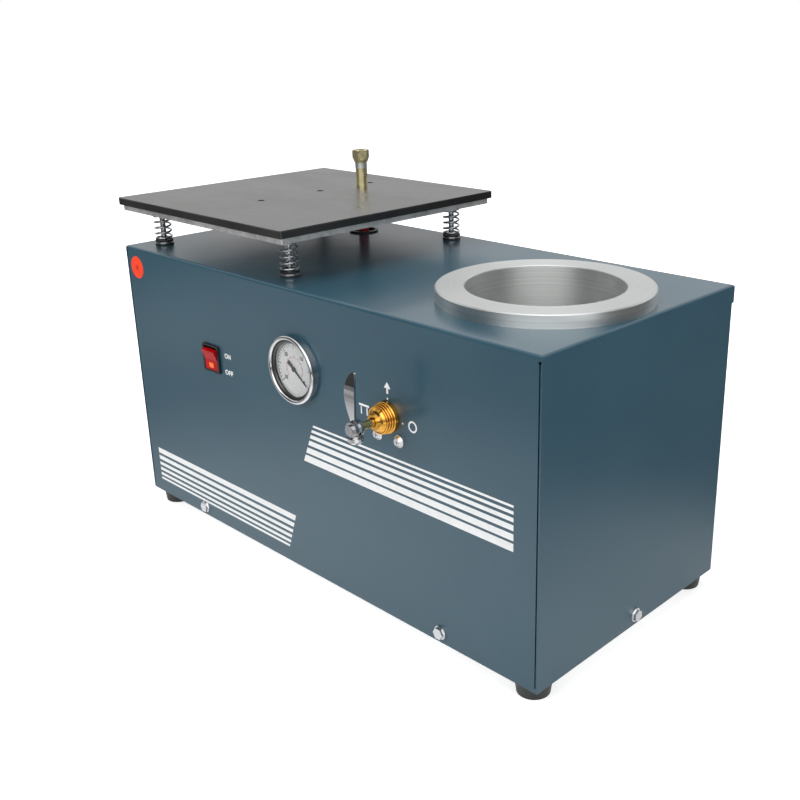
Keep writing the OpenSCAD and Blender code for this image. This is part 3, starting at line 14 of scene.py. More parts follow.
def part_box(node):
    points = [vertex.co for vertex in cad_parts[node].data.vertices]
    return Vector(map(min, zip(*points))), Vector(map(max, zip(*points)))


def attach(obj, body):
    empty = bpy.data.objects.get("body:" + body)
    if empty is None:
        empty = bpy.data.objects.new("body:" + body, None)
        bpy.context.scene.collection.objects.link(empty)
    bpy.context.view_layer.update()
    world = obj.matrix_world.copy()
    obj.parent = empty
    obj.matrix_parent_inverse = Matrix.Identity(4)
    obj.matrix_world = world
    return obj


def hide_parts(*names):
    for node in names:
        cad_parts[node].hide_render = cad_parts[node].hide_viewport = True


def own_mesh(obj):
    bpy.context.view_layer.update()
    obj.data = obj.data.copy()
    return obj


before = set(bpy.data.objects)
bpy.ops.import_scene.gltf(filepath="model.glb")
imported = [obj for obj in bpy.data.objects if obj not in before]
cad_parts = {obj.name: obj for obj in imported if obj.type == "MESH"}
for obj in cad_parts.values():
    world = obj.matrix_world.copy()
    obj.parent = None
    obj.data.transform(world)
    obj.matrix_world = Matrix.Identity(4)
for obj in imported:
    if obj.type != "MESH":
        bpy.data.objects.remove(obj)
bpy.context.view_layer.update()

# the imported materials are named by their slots, and finishes of this script take their places
slot_of = {name: node.data.materials[0].name for name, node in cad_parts.items()}
for packed in list(bpy.data.materials):
    bpy.data.materials.remove(packed)

cover_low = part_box("cabinet_cover")[0]
FRONT_Y = cover_low.y * 1000
FOOT_H = cover_low.z * 1000

# axes of turned pieces
FORWARD, UPRIGHT = 1, 2

# middles of what sits on the front
GAUGE_X, GAUGE_Z = -2, 228
VALVE_X, VALVE_Z = 133, 213
SWITCH_X, SWITCH_Z = -150, 207
PRINT_Y = -0.01

# the table: its middle, how far out its studs stand, its pipe and its travel
TABLE_X, TABLE_Y = -163, 152
STUD_OUT = 118.5
PIPE_X, PIPE_Y = -159, 235


def place(x, y, z):
    return Vector((x, y + FRONT_Y, z + FOOT_H)) / 1000


# ---------------------------------------------------------------- shader nodes


def feed(tree, socket, value):
    """Link a node's output into the socket, or set a plain number or colour there."""
    if isinstance(value, bpy.types.NodeSocket):
        tree.links.new(value, socket)
    else:
        socket.default_value = value


def tree_math(tree, operation, a, b):
    made = tree.nodes.new("ShaderNodeMath")
    made.operation = operation
    feed(tree, made.inputs[0], a)
    feed(tree, made.inputs[1], b)
    return made.outputs[0]


def vector_math(tree, operation, a, b=None):
    made = tree.nodes.new("ShaderNodeVectorMath")
    made.operation = operation
    feed(tree, made.inputs[0], a)
    if b is not None:
        feed(tree, made.inputs[1], b)
    gives_number = operation in ("LENGTH", "DISTANCE", "DOT_PRODUCT")
    return made.outputs["Value" if gives_number else "Vector"]


def map_range(tree, value, start, end, low, high, shape="LINEAR"):
    """value, from start to end, as a number from low to high."""
    made = tree.nodes.new("ShaderNodeMapRange")
    made.interpolation_type = shape
    feed(tree, made.inputs["Value"], value)
    for name, number in (("From Min", start), ("From Max", end), ("To Min", low), ("To Max", high)):
        made.inputs[name].default_value = number
    return made.outputs["Result"]


def ramp(tree, value, start, end, low, high):
    return map_range(tree, value, start, end, low, high, "SMOOTHSTEP")


# ---------------------------------------------------------------- finishes


class Finish:
    """A Principled material, with short calls for the nodes that vary it over the surface."""

    def __init__(self, name, color, roughness=0.5, metallic=0.0, **constants):
        self.material = bpy.data.materials.new(name)
        self.material.use_nodes = True
        self.tree = self.material.node_tree
        self.shader = self.tree.nodes["Principled BSDF"]
        self.where = self.tree.nodes.new("ShaderNodeTexCoord").outputs["Object"]
        self.set("Base Color", (*color, 1))
        self.set("Roughness", roughness)
        self.set("Metallic", metallic)
        for socket, value in constants.items():
            self.set(socket.replace("_", " "), value)
        self.bumped = None

    def set(self, socket, value):
        self.shader.inputs[socket].default_value = value

    def link(self, output, socket):
        self.tree.links.new(output, self.shader.inputs[socket])

    def math(self, operation, a, b):
        return tree_math(self.tree, operation, a, b)

    def split(self, vector):
        made = self.tree.nodes.new("ShaderNodeSeparateXYZ")
        self.tree.links.new(vector, made.inputs[0])
        return made.outputs

    def noise(self, scale, detail=2.0, rough=0.5, stretch=None, vector=None):
        """Noise of about 1/scale metres; stretch scales it along each axis."""
        where = vector or self.where
        if stretch:
            where = vector_math(self.tree, "MULTIPLY", where, stretch)
        made = self.tree.nodes.new("ShaderNodeTexNoise")
        self.tree.links.new(where, made.inputs["Vector"])
        for name, number in (("Scale", scale), ("Detail", detail), ("Roughness", rough)):
            made.inputs[name].default_value = number
        return made.outputs["Fac"]

    def round_axis(self, centre, axis):
        """The place as seen from centre, and its distance from the axis through centre."""
        shift = vector_math(self.tree, "SUBTRACT", self.where, centre)
        flat = vector_math(self.tree, "MULTIPLY", shift, [0 if i == axis else 1 for i in range(3)])
        return shift, vector_math(self.tree, "LENGTH", flat)

    def turned(self, centre, axis, scale=2600.0):
        """Noise that runs round an axis through centre, as tool marks do on a turned piece."""
        shift, distance = self.round_axis(centre, axis)
        join = self.tree.nodes.new("ShaderNodeCombineXYZ")
        self.tree.links.new(distance, join.inputs[0])
        self.tree.links.new(self.split(shift)[axis], join.inputs[1])
        return self.noise(scale, 3.0, 0.6, vector=join.outputs[0])

    def spread(self, value, low, high, start=0.35, end=0.65):
        """value, from start to end, as a number from low to high."""
        return map_range(self.tree, value, start, end, low, high)

    def mix(self, share, a, b):
        made = self.tree.nodes.new("ShaderNodeMix")
        made.data_type = "RGBA"
        feed(self.tree, made.inputs[0], share)
        for socket, value in ((made.inputs[6], a), (made.inputs[7], b)):
            is_link = isinstance(value, bpy.types.NodeSocket)
            feed(self.tree, socket, value if is_link else (*value, 1))
        return made.outputs[2]

    def above(self, height, blur=0.0004):
        """0 below that height in the row frame, 1 above it."""
        return self.spread(self.split(self.where)[2], 0.0, 1.0, height - blur, height + blur)

    def color(self, value):
        self.link(value, "Base Color")

    def rough(self, value):
        self.link(value, "Roughness")

    def bump(self, height, depth):
        """Relief of that depth in metres, on top of what is there."""
        made = self.tree.nodes.new("ShaderNodeBump")
        made.inputs["Distance"].default_value = depth
        self.tree.links.new(height, made.inputs["Height"])
        if self.bumped:
            self.tree.links.new(self.bumped, made.inputs["Normal"])
        self.bumped = made.outputs[0]
        self.link(self.bumped, "Normal")


def varied(name, color, other, roughness, metallic=0.0, scale=60.0, fine=900.0, depth=0.00002,
           **constants):
    """A finish whose colour and gloss drift over the surface, with a fine grain."""
    f = Finish(name, color, sum(roughness) / 2, metallic, **constants)
    drift = f.noise(scale, 4.0, 0.6)
    grain = f.noise(fine, 3.0, 0.6)
    gloss = f.math("ADD", f.math("MULTIPLY", drift, 0.6), f.math("MULTIPLY", grain, 0.4))
    f.color(f.mix(f.spread(drift, 0, 1), color, other))
    f.rough(f.spread(gloss, *roughness))
    f.bump(grain, depth)
    return f


def painted_sheet():
    """Blue-green stoved paint with a fine speck, glossy enough to mirror what stands on it."""
    f = Finish("painted_sheet", (0.026, 0.080, 0.116), 0.32, Coat_Weight=0.3, Coat_Roughness=0.13)
    speck = f.noise(800.0, 2.0, 0.6)
    cloud = f.noise(9.0, 3.0, 0.5)
    base = f.mix(f.spread(cloud, 0, 1), (0.0235, 0.075, 0.110), (0.0275, 0.084, 0.120))
    f.color(f.mix(f.spread(speck, 0, 0.35, 0.42, 0.66), base, (0.034, 0.096, 0.136)))
    f.rough(f.spread(cloud, 0.29, 0.35))
    f.bump(f.noise(330.0, 2.0, 0.5), 0.000016)
    return f


def turned_aluminium(centre, face):
    """Grooves run round the upright axis, so a highlight spreads across them.

    The face on top, at that height, is painted darker than the walls: painted shade.
    """
    f = Finish("turned_aluminium", (0.82, 0.84, 0.83), 0.4, 1.0,
               Anisotropic=0.7, Anisotropic_Rotation=0.25)
    tangent = f.tree.nodes.new("ShaderNodeTangent")
    tangent.direction_type, tangent.axis = "RADIAL", "Z"
    f.link(tangent.outputs[0], "Tangent")
    lines = f.turned(centre, UPRIGHT)
    bands = f.turned(centre, UPRIGHT, 480.0)
    # the top face is painted darker than the walls: painted shade
    metal_with_shaded_top = f.mix(f.above(face - 0.0008), (0.86, 0.87, 0.86), (0.69, 0.71, 0.70))
    f.color(f.mix(f.spread(bands, 0, 0.5), metal_with_shaded_top, (0.60, 0.62, 0.61)))
    f.rough(f.spread(lines, 0.36, 0.46))
    f.bump(lines, 0.000012)
    f.bump(bands, 0.00002)
    return f


def milled_aluminium():
    """Bare plate with milled edges, stained by use."""
    f = Finish("milled_aluminium", (0.62, 0.63, 0.62), 0.4, 0.75)
    lines = f.noise(900.0, 3.0, 0.6, stretch=(0.03, 0.03, 1.0))
    stain = f.noise(34.0, 5.0, 0.65)
    f.color(f.mix(f.spread(stain, 0, 1, 0.40, 0.62), (0.76, 0.76, 0.75), (0.46, 0.46, 0.45)))
    f.rough(f.spread(stain, 0.42, 0.58))
    f.bump(lines, 0.00002)
    return f


def ringed_rubber(low, high):
    """Black rubber, with a plated steel ring between those heights."""
    f = Finish("ringed_rubber", (0.014, 0.014, 0.015), 0.5)
    ring = f.math("SUBTRACT", f.above(low, 0.00002), f.above(high, 0.00002))
    grain = f.noise(600.0, 3.0, 0.6)
    rubber = f.mix(f.spread(grain, 0, 1), (0.012, 0.012, 0.013), (0.024, 0.023, 0.023))
    f.color(f.mix(ring, rubber, (0.74, 0.75, 0.76)))
    f.link(ring, "Metallic")
    f.rough(f.spread(ring, 0.5, 0.22, 0, 1))
    f.bump(grain, 0.00001)
    return f


def rubber_pad(top):
    """Black rubber, smeared with dust on top; its edge is painted darker than the top, painted
    shade.
    """
    f = Finish("rubber_pad", (0.016, 0.016, 0.016), 0.45, Specular_IOR_Level=0.9,
               Coat_Weight=0.25, Coat_Roughness=0.3)
    smear = f.noise(9.0, 4.0, 0.5, stretch=(1.0, 2.0, 1.0))
    dusty = f.mix(f.spread(smear, 0, 1, 0.38, 0.66), (0.022, 0.022, 0.022), (0.082, 0.080, 0.078))
    # below the top the edge is painted darker than the top's rubber: painted shade
    f.color(f.mix(f.above(top - 0.0009, 0.0006), (0.008, 0.008, 0.008), dusty))
    f.rough(f.spread(smear, 0.20, 0.46, 0.38, 0.66))
    f.bump(f.noise(140.0, 3.0, 0.5), 0.000003)
    return f


def plated(name, color, roughness, depth=0.000006):
    """Bright plating or plain bright metal, with slow waves."""
    f = Finish(name, color, 0.08, 1.0)
    wave = f.noise(90.0, 3.0)
    f.color(f.mix(f.spread(wave, 0, 1), color, tuple(c * 0.9 for c in color)))
    f.rough(f.spread(f.noise(320.0, 4.0, 0.6), *roughness))
    f.bump(wave, depth)
    return f


def bezel_chrome(centre, inner):
    """Chrome on the rolled ring, dull on the flange nearer to its axis than inner, where it is
    painted dark: painted shade between the ring and the dial.
    """
    f = Finish("chrome_bezel", (0.70, 0.71, 0.72), 0.08, 1.0)
    wave = f.noise(90.0, 3.0)
    blur = 0.0002
    distance = f.round_axis(centre, FORWARD)[1]
    ring_outside_painted_shade = f.spread(distance, 0.0, 1.0, inner - blur, inner + blur)
    chrome = f.mix(f.spread(wave, 0, 1), (0.74, 0.75, 0.76), (0.66, 0.67, 0.68))
    # the flange is painted nearly black: painted shade between the ring and the dial
    f.color(f.mix(ring_outside_painted_shade, (0.10, 0.10, 0.10), chrome))
    f.rough(f.spread(ring_outside_painted_shade, 0.34, 0.075, 0, 1))
    f.bump(wave, 0.000006)
    return f


def stand_brass(neck_low, neck_high):
    """Polished brass, nearly bare of colour on the neck between those heights."""
    f = Finish("stand_brass", (0.90, 0.80, 0.46), 0.2, 0.85)
    wave = f.noise(150.0, 3.0)
    brass = f.mix(f.spread(wave, 0, 1), (0.94, 0.84, 0.48), (0.80, 0.70, 0.38))
    neck = f.math("SUBTRACT", f.above(neck_low), f.above(neck_high))
    f.color(f.mix(neck, brass, (0.97, 0.97, 0.93)))
    f.rough(f.spread(f.noise(260.0, 4.0), 0.14, 0.24))
    f.bump(f.noise(1800.0, 2.0, 0.5, stretch=(0.1, 0.1, 1.0)), 0.000006)
    return f


def glass():
    f = Finish("clear_glass", (0.98, 0.99, 0.985), 0.0, IOR=1.46, Transmission_Weight=1.0)
    f.color(f.mix(f.spread(f.noise(60.0, 3.0), 0, 1), (0.985, 0.99, 0.985), (0.965, 0.97, 0.965)))
    return f


def print_ink(name, color, roughness=(0.35, 0.45)):
    return varied(name, color, tuple(c * 0.94 for c in color), roughness, scale=120.0,
                  depth=0.000002, Specular_IOR_Level=0.3)


ring_centre = place(204, 137, 310)
ring_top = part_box("chamber_ring")[1].z
pad_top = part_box("table_pad")[1].z
pipe_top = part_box("stand_pipe")[1].z
# the steel ring in each cushion of the studs
cushion_ring = [place(0, 0, z).z for z in (312.01, 313.6)]

finishes = {
    "painted_sheet": painted_sheet(),
    "zinc_plate": varied("zinc_plate", (0.56, 0.56, 0.55), (0.48, 0.49, 0.50), (0.28, 0.42), 1.0),
    "bright_screws": plated("bright_screws", (0.78, 0.78, 0.79), (0.14, 0.26)),
    "plain_steel": varied("plain_steel", (0.42, 0.42, 0.43), (0.34, 0.34, 0.36), (0.32, 0.46), 1.0),
    "black_rubber": varied("black_rubber", (0.026, 0.027, 0.028), (0.044, 0.045, 0.046),
                           (0.36, 0.55), fine=600.0),
    "aluminium": turned_aluminium(ring_centre, ring_top),
    "brass": varied("brass", (0.78, 0.58, 0.24), (0.68, 0.49, 0.19), (0.16, 0.28), 1.0),
    "red_rubber": varied("red_rubber", (0.35, 0.06, 0.04), (0.27, 0.05, 0.03), (0.5, 0.6)),
    "red_hose": varied("red_hose", (0.42, 0.012, 0.014), (0.30, 0.010, 0.012), (0.28, 0.42),
                       fine=500.0),
    "black_hose": varied("black_hose", (0.02, 0.02, 0.02), (0.03, 0.03, 0.03), (0.35, 0.5)),
    "cast_grey": varied("cast_grey", (0.13, 0.14, 0.155), (0.10, 0.11, 0.125), (0.45, 0.6),
                        fine=350.0, depth=0.00012),
    "black_plastic": varied("black_plastic", (0.013, 0.013, 0.014), (0.018, 0.018, 0.02),
                            (0.3, 0.42), fine=1200.0),
    "red_plastic": varied("red_plastic", (0.52, 0.004, 0.006), (0.40, 0.003, 0.005), (0.18, 0.26),
                          fine=300.0, Specular_IOR_Level=0.2),
    "white_dial": varied("white_dial", (0.96, 0.97, 0.97), (0.92, 0.93, 0.93), (0.35, 0.45)),
    "clear_glass": glass(),
    "spring_wire": plated("spring_wire", (0.62, 0.62, 0.63), (0.20, 0.32), 0.00001),
}
own_finish = {
    "gauge_bezel": bezel_chrome(place(GAUGE_X, 0, GAUGE_Z), 0.0309),
    "valve_lever": plated("chrome_lever", (0.50, 0.50, 0.51), (0.07, 0.14), 0.00002),
    "stud_cushions": ringed_rubber(*cushion_ring),
    "table_plate": milled_aluminium(),
    "table_pad": rubber_pad(pad_top),
    "stand_pipe": stand_brass(pipe_top - 0.0215, pipe_top - 0.0145),
    "valve_bonnet": varied("golden_brass", (0.86, 0.46, 0.09), (0.74, 0.36, 0.06), (0.12, 0.22),
                           1.0, scale=140.0),
    "valve_plug": varied("stem_brass", (0.76, 0.60, 0.26), (0.66, 0.50, 0.20), (0.12, 0.22), 1.0,
                         scale=140.0),
}

for name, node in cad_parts.items():
    finish = own_finish.get(name, finishes[slot_of[name]])
    node.data.materials.clear()
    node.data.materials.append(finish.material)


# ---------------------------------------------------------------- mesh helpers


def dress(name, mesh, finish, body):
    """The mesh as a piece of the object, with its finish and on its body."""
    mesh.materials.append(finish.material)
    piece = bpy.data.objects.new(name, mesh)
    bpy.context.scene.collection.objects.link(piece)
    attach(piece, body)
    return piece


def add_piece(name, verts, faces, finish, body, smooth=True):
    """A piece of the object, from points in metres in the row frame."""
    mesh = bpy.data.meshes.new(name)
    mesh.from_pydata([tuple(v) for v in verts], [], faces)
    mesh.validate()
    bm = bmesh.new()
    bm.from_mesh(mesh)
    bmesh.ops.remove_doubles(bm, verts=bm.verts, dist=1e-7)
    bmesh.ops.recalc_face_normals(bm, faces=bm.faces)
    bm.to_mesh(mesh)
    bm.free()
    if smooth:
        mesh.shade_smooth()
        mesh.set_sharp_from_angle(angle=math.radians(38))
    return dress(name, mesh, finish, body)


def print_on(name, shapes, y, finish, thick=0.06):
    """Thin flat shapes on a plane that faces the front.

    Each shape is a list of loops of (x, z): its outline and then its holes.
    """
    verts, faces = [], []
    for loops in shapes:
        area = tessellate_polygon([[Vector((*p, 0)) for p in loop] for loop in loops])
        points = [p for loop in loops for p in loop]
        start, count = len(verts), len(points)
        for depth in (y, y - thick):
            verts += [place(x, depth, z) for x, z in points]
        for tri in area:
            faces.append([start + i for i in tri])
            faces.append([start + count + i for i in reversed(tri)])
        first = start
        for loop in loops:
            n = len(loop)
            for k in range(n):
                a, b = first + k, first + (k + 1) % n
                faces.append([a, b, b + count, a + count])
            first += n
    return add_piece(name, verts, faces, finish, "cabinet", smooth=False)


def turn(k, n):
    """Cosine and sine of the k-th of n equal steps round a circle."""
    return math.cos(2 * math.pi * k / n), math.sin(2 * math.pi * k / n)


def circle(x, z, r, n):
    return [(x + r * c, z + r * d) for c, d in (turn(k, n) for k in range(n))]


def oblong(x0, z0, x1, z1):
    return [(x0, z0), (x1, z0), (x1, z1), (x0, z1)]


def bar(x0, z0, x1, z1, w):
    """Outline of a straight bar between two points."""
    d = Vector((x1 - x0, z1 - z0)).normalized() * w / 2
    return [(x0 - d.y, z0 + d.x), (x0 + d.y, z0 - d.x), (x1 + d.y, z1 - d.x), (x1 - d.y, z1 + d.x)]


def lettering(name, text, x, z, width, height, y, finish, thick=0.06):
    """Flat characters, centred on (x, z) and scaled to that width and height."""
    curve = bpy.data.curves.new(name, "FONT")
    curve.body = text
    curve.align_x = "LEFT"
    curve.extrude = 0.00003
    curve.offset = 0.028
    curve.resolution_u = 6
    source = bpy.data.objects.new(name, curve)
    bpy.context.scene.collection.objects.link(source)
    bpy.context.view_layer.update()
    mesh = bpy.data.meshes.new_from_object(source)
    bpy.data.objects.remove(source)
    bpy.data.curves.remove(curve)
    lo = [min(v.co[i] for v in mesh.vertices) for i in range(3)]
    hi = [max(v.co[i] for v in mesh.vertices) for i in range(3)]
    for v in mesh.vertices:
        across = (v.co.x - (lo[0] + hi[0]) / 2) / (hi[0] - lo[0]) * width
        up = (v.co.y - (lo[1] + hi[1]) / 2) / (hi[1] - lo[1]) * height
        out = (v.co.z - lo[2]) / (hi[2] - lo[2]) * thick
        v.co = place(x + across, y - out, z + up)
    mesh.materials.clear()
    return dress(name, mesh, finish, "cabinet")


def strips(rings, n, closed=False):
    """Faces between neighbouring rings of n points; closed also joins the last to the first."""
    faces = []
    for i in range(rings if closed else rings - 1):
        here, there = i * n, (i + 1) % rings * n
        for k in range(n):
            m = (k + 1) % n
            faces.append([here + k, here + m, there + m, there + k])
    return faces


def sweep(line, radii, sides, closed_ends=True):
    """Verts and faces of a round section carried along a line without twist, one radius a point."""
    verts = []
    normal = None
    for i, p in enumerate(line):
        t = (line[min(i + 1, len(line) - 1)] - line[max(i - 1, 0)]).normalized()
        if normal is None:
            other = Vector((0, 0, 1)) if abs(t.z) < 0.9 else Vector((1, 0, 0))
            normal = t.cross(other).normalized()
        normal = (normal - normal.dot(t) * t).normalized()
        side = t.cross(normal)
        for k in range(sides):
            c, d = turn(k, sides)
            verts.append(p + radii[i] * (c * normal + d * side))
    faces = strips(len(line), sides)
    if closed_ends:
        faces += [list(range(sides))[::-1], [len(verts) - sides + k for k in range(sides)]]
    return verts, faces


# ---------------------------------------------------------------- springs of the table


def spring_line(radius, wire, height, turns, per_turn=40):
    """Centre line of a spring with closed ends, from the middle of its foot."""
    lift = height - wire
    rise = (wire + 0.15) * 1.1             # a turn, where the closed end turns open
    points = []
    for i in range(int(turns * per_turn) + 1):
        t = i / per_turn
        if t < 1:
            z = rise * t * t / 2
        elif t > turns - 1:
            z = lift - rise * (turns - t) ** 2 / 2
        else:
            z = rise / 2 + (t - 1) / (turns - 2) * (lift - rise)
        a = 2 * math.pi * t
        points.append(Vector((radius * math.cos(a), radius * math.sin(a), wire / 2 + z)))
    return points


def table_springs():
    wire, outside, low, high = 2.2, 20.0, 316.2, 350.6
    line = spring_line((outside - wire) / 2, wire, high - low, 6.5)
    # the wire tapers off over the ground ends
    ground = 22
    radii = [wire / 2 * min(1.0, 0.55 + 0.45 * min(i, len(line) - 1 - i) / ground)
             for i in range(len(line))]
    coil, coil_faces = sweep(line, radii, 14)
    verts, faces = [], []
    for x in (-STUD_OUT, STUD_OUT):
        for y in (-STUD_OUT, STUD_OUT):
            faces += [[len(verts) + k for k in face] for face in coil_faces]
            verts += [place(TABLE_X + x + p.x, TABLE_Y + y + p.y, min(max(p.z + low, low), high))
                      for p in coil]
    springs = add_piece("springs", verts, faces, finishes["spring_wire"], "cabinet")
    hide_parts("table_springs")
    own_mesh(springs)


table_springs()


# ---------------------------------------------------------------- hoses


HOSE_R, HOSE_BORE_R = 6.3, 4.9


def spline(p, steps, first, last):
    """A smooth line through p that sets out along first and arrives along last."""
    q = [p[1] - 1.6 * (p[1] - p[0]).length * first, *p,
         p[-2] + 1.6 * (p[-1] - p[-2]).length * last]
    out = []
    for i in range(1, len(p)):
        a, b, c, d = q[i - 1:i + 3]
        for k in range(steps):
            t = k / steps
            out.append(0.5 * (2 * b + (c - a) * t + (2 * a - 5 * b + 4 * c - d) * t * t
                              + (3 * b - a - 3 * c + d) * t ** 3))
    return out + [p[-1]]


def hose(name, node, line, slot):
    """A hose of that centre line, its outside eased over the barbs at both ends."""
    sides, barb = 28, 16
    total = [0.0]
    for a, b in zip(line, line[1:]):
        total.append(total[-1] + (b - a).length)
    radii = []
    for along in total:
        near = min(along, total[-1] - along)
        swell = 0.22 * max(0.0, math.sin(near / barb * math.pi * 3)) if near < barb else 0.0
        radii.append(HOSE_R + swell - (0.5 if near < 0.01 else 0.0))
    outer, faces = sweep(line, radii, sides, closed_ends=False)
    inner, inner_faces = sweep(line, [HOSE_BORE_R] * len(line), sides, closed_ends=False)
    base = len(outer)
    faces += [[base + k for k in reversed(f)] for f in inner_faces]
    for end in (0, base - sides):
        for k in range(sides):
            a, b = end + k, end + (k + 1) % sides
            faces.append([a, b, base + b, base + a])
    verts = [place(*v) for v in outer + inner]
    piece = add_piece(name, verts, faces, finishes[slot], "cabinet")
    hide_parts(node)
    return piece


def straight(a, b, step=0.8):
    """Points from a to b, closer together at both ends."""
    length, ease = (b - a).length, 0.6
    n = max(2, int(length / step))
    along = [0.0, ease, *[ease + (length - 2 * ease) * k / n for k in range(1, n)],
             length - ease, length]
    d = (b - a).normalized()
    return [a + s * d for s in along]


def routed(start, first, points, end, last):
    """A hose's line that leaves and arrives straight, over its barbs."""
    lead = 17
    p = [start + lead * first, *points, end - lead * last]
    return straight(start, p[0])[:-1] + spline(p, 14, first, last)[:-1] + straight(p[-1], end)


def way(a, b, shares):
    """Points of a route as shares of the way from a to b, in x, y and z."""
    return [Vector([a[i] + share[i] * (b[i] - a[i]) for i in range(3)]) for share in shares]


def hoses():
    x, y, z = Vector((1, 0, 0)), Vector((0, 1, 0)), Vector((0, 0, 1))
    seat = 0.2                             # between the end of a hose and its fitting's shoulder

    # the upper piece of the table's hose is squeezed between the table and the lower piece
    foot, head = Vector((PIPE_X, PIPE_Y, 294.05)), Vector((PIPE_X, PIPE_Y, 344.6))
    upper = hose("hose_to_table", "table_hose_upper", straight(foot, head), "red_hose")
    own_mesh(upper)

    # ports of the valve, on its left, right and rear
    left, right = (Vector((VALVE_X + side, 28, VALVE_Z)) for side in (-22, 22))
    rear = Vector((VALVE_X, 51, VALVE_Z))

    below = Vector((PIPE_X, PIPE_Y, 294))
    hose("hose_to_valve", "table_hose_lower", routed(below, -z, way(below, left, [
        (0.085, 0.06, 0.72), (0.48, 0.37, 0.77), (0.715, 0.73, 0.79), (0.85, 0.95, 0.94)]),
        left - seat * x, x), "red_hose")
    pump = Vector((-67, 165, 179.2))
    hose("hose_to_pump", "pump_hose", routed(pump, z, way(pump, rear, [
        (0.105, 0.15, 1.15), (0.455, 0.48, 0.85), (0.755, 0.59, 0.79), (0.935, 0.63, 0.94)]),
        rear + seat * y, -y), "red_hose")
    chamber = Vector((110.9, 137, 102.7))
    hose("hose_to_chamber", "chamber_hose", routed(right + seat * x, x, way(right, chamber, [
        (-0.81, 0.02, 0.17), (-0.47, 0.07, 0.535), (0.885, 0.22, 0.84), (1.83, 0.585, 0.99),
        (1.83, 0.86, 1)]), chamber, x), "red_hose")
    branch, gauge = Vector((-67, 152, 169)), Vector((GAUGE_X, 40, GAUGE_Z))
    hose("hose_to_gauge", "gauge_line", routed(branch - seat * y, -y, way(branch, gauge, [
        (0.13, 0.41, 0.32), (0.63, 0.535, 0.82), (0.955, 0.68, 0.97)]),
        gauge + seat * y, -y), "black_hose")


hoses()


# ---------------------------------------------------------------- printing on the front

white_ink = print_ink("white_ink", (0.93, 0.94, 0.94))
black_ink = print_ink("black_ink", (0.02, 0.02, 0.022))
red_ink = print_ink("red_ink", (0.55, 0.03, 0.03))
sticker_ink = print_ink("sticker_ink", (1.0, 0.06, 0.014), (0.4, 0.5))
sticker_mark = print_ink("sticker_mark", (0.62, 0.035, 0.015))
lamp_glow = print_ink("lamp_window", (0.90, 0.16, 0.03), (0.2, 0.3))
lamp_glow.set("Emission Color", (1.0, 0.22, 0.05, 1))
lamp_glow.set("Emission Strength", 0.25)


def stripe(left, right, z, thick, lean_left=0.0, lean_right=0.0):
    """A stripe whose ends lean to the right by those shares of its thickness on their way up."""
    a, b, low, high = lean_left * thick / 2, lean_right * thick / 2, z - thick / 2, z + thick / 2
    return [(left - a, low), (right - b, low), (right + b, high), (left + a, high)]


def front_stripes():
    # each stripe by its leaning end, height and thickness
    right = [(20.4, 172.4, 2.3), (17.8, 166.5, 3.1), (15.1, 159.9, 4.1), (12.0, 152.3, 5.4),
             (8.1, 143.3, 6.5), (3.9, 133.7, 7.7)]
    left = [(-19.8, 55.9, 6.8), (-23.3, 46.5, 5.2), (-25.9, 38.3, 4.1), (-28.5, 31.1, 3.8),
            (-31.0, 24.2, 3.5), (-33.3, 18.3, 2.8)]
    shapes = [[stripe(x, 284, z, thick, lean_left=0.43)] for x, z, thick in right]
    shapes += [[stripe(-292, x, z, thick, lean_right=0.37)] for x, z, thick in left]
    print_on("front_stripes", shapes, PRINT_Y, white_ink)


def selector_signs():
    """A dot and a plain sign at each place of the valve: table, air and chamber."""
    x, z = VALVE_X, VALVE_Z - 1.8
    dots = [[circle(x + across, z + up, 1.0, 20)]
            for across, up in ((0, 19.2), (19.2, 0), (-19.2, 0))]
    half = [(4.4, 29.2), (1.2, 29.2), (1.2, 24)]
    arrow = [[(x, z + 35.3), *[(x - across, z + up) for across, up in half],
              *[(x + across, z + up) for across, up in reversed(half)]]]
    ring = [circle(x + 32, z, 5.6, 40), circle(x + 32, z, 3.9, 40)[::-1]]
    table = [[oblong(x - 40, z + 3.2, x - 26, z + 5.4)],
             [oblong(x - 37.8, z - 5, x - 36.3, z + 2.4)],
             [oblong(x - 29.7, z - 5, x - 28.2, z + 2.4)]]
    print_on("selector_signs", [*dots, arrow, ring, *table], PRINT_Y, white_ink)


def front_print():
    front_stripes()
    selector_signs()
    for name, text, x, z, width in (("switch_on", "ON", -120.6, 214.8, 11.0),
                                    ("switch_off", "OFF", -120.2, 196.2, 14.5)):
        lettering(name, text, x, z, width, 5.6, PRINT_Y, white_ink)
    x, z, thick = -291, 286.6, 0.12
    print_on("round_sticker", [[circle(x, z, 13, 64)]], PRINT_Y, sticker_ink, thick)
    print_on("sticker_centre", [[circle(x, z, 3.2, 24)]], PRINT_Y - thick, sticker_mark,
             0.02)


front_print()


# ---------------------------------------------------------------- bezel of the gauge


def gauge_bezel():
    """Rolled ring on a narrower foot, with a groove and a flange inside it."""
    rim_r, rim_out, edge = 33.15, 5.65, 2.35
    # (radius, distance from the front), from the foot over the ring to the flange
    profile = [(31.6, 4.0), (31.6, 0.05), (33.0, 0.05), (33.0, 3.2)]
    for step in range(-90, 206, 7):
        a = math.radians(step)
        profile.append((rim_r + edge * math.cos(a), rim_out + edge * math.sin(a)))
    profile += [(30.85, 5.05), (30.4, 5.55), (29.8, 5.6), (29.2, 5.25), (28.3, 4.5), (28.0, 4.1),
                (28.1, 4.0)]
    verts, steps = [], 160
    for k in range(steps):
        c, d = turn(k, steps)
        verts += [place(GAUGE_X + r * c, -out, GAUGE_Z + r * d) for r, out in profile]
    bezel = add_piece("bezel", verts, strips(steps, len(profile), closed=True),
                      own_finish["gauge_bezel"], "cabinet")
    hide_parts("gauge_bezel")


gauge_bezel()


# ---------------------------------------------------------------- dial of the gauge


DIAL_Y = -0.11
DIAL_TOP = 30


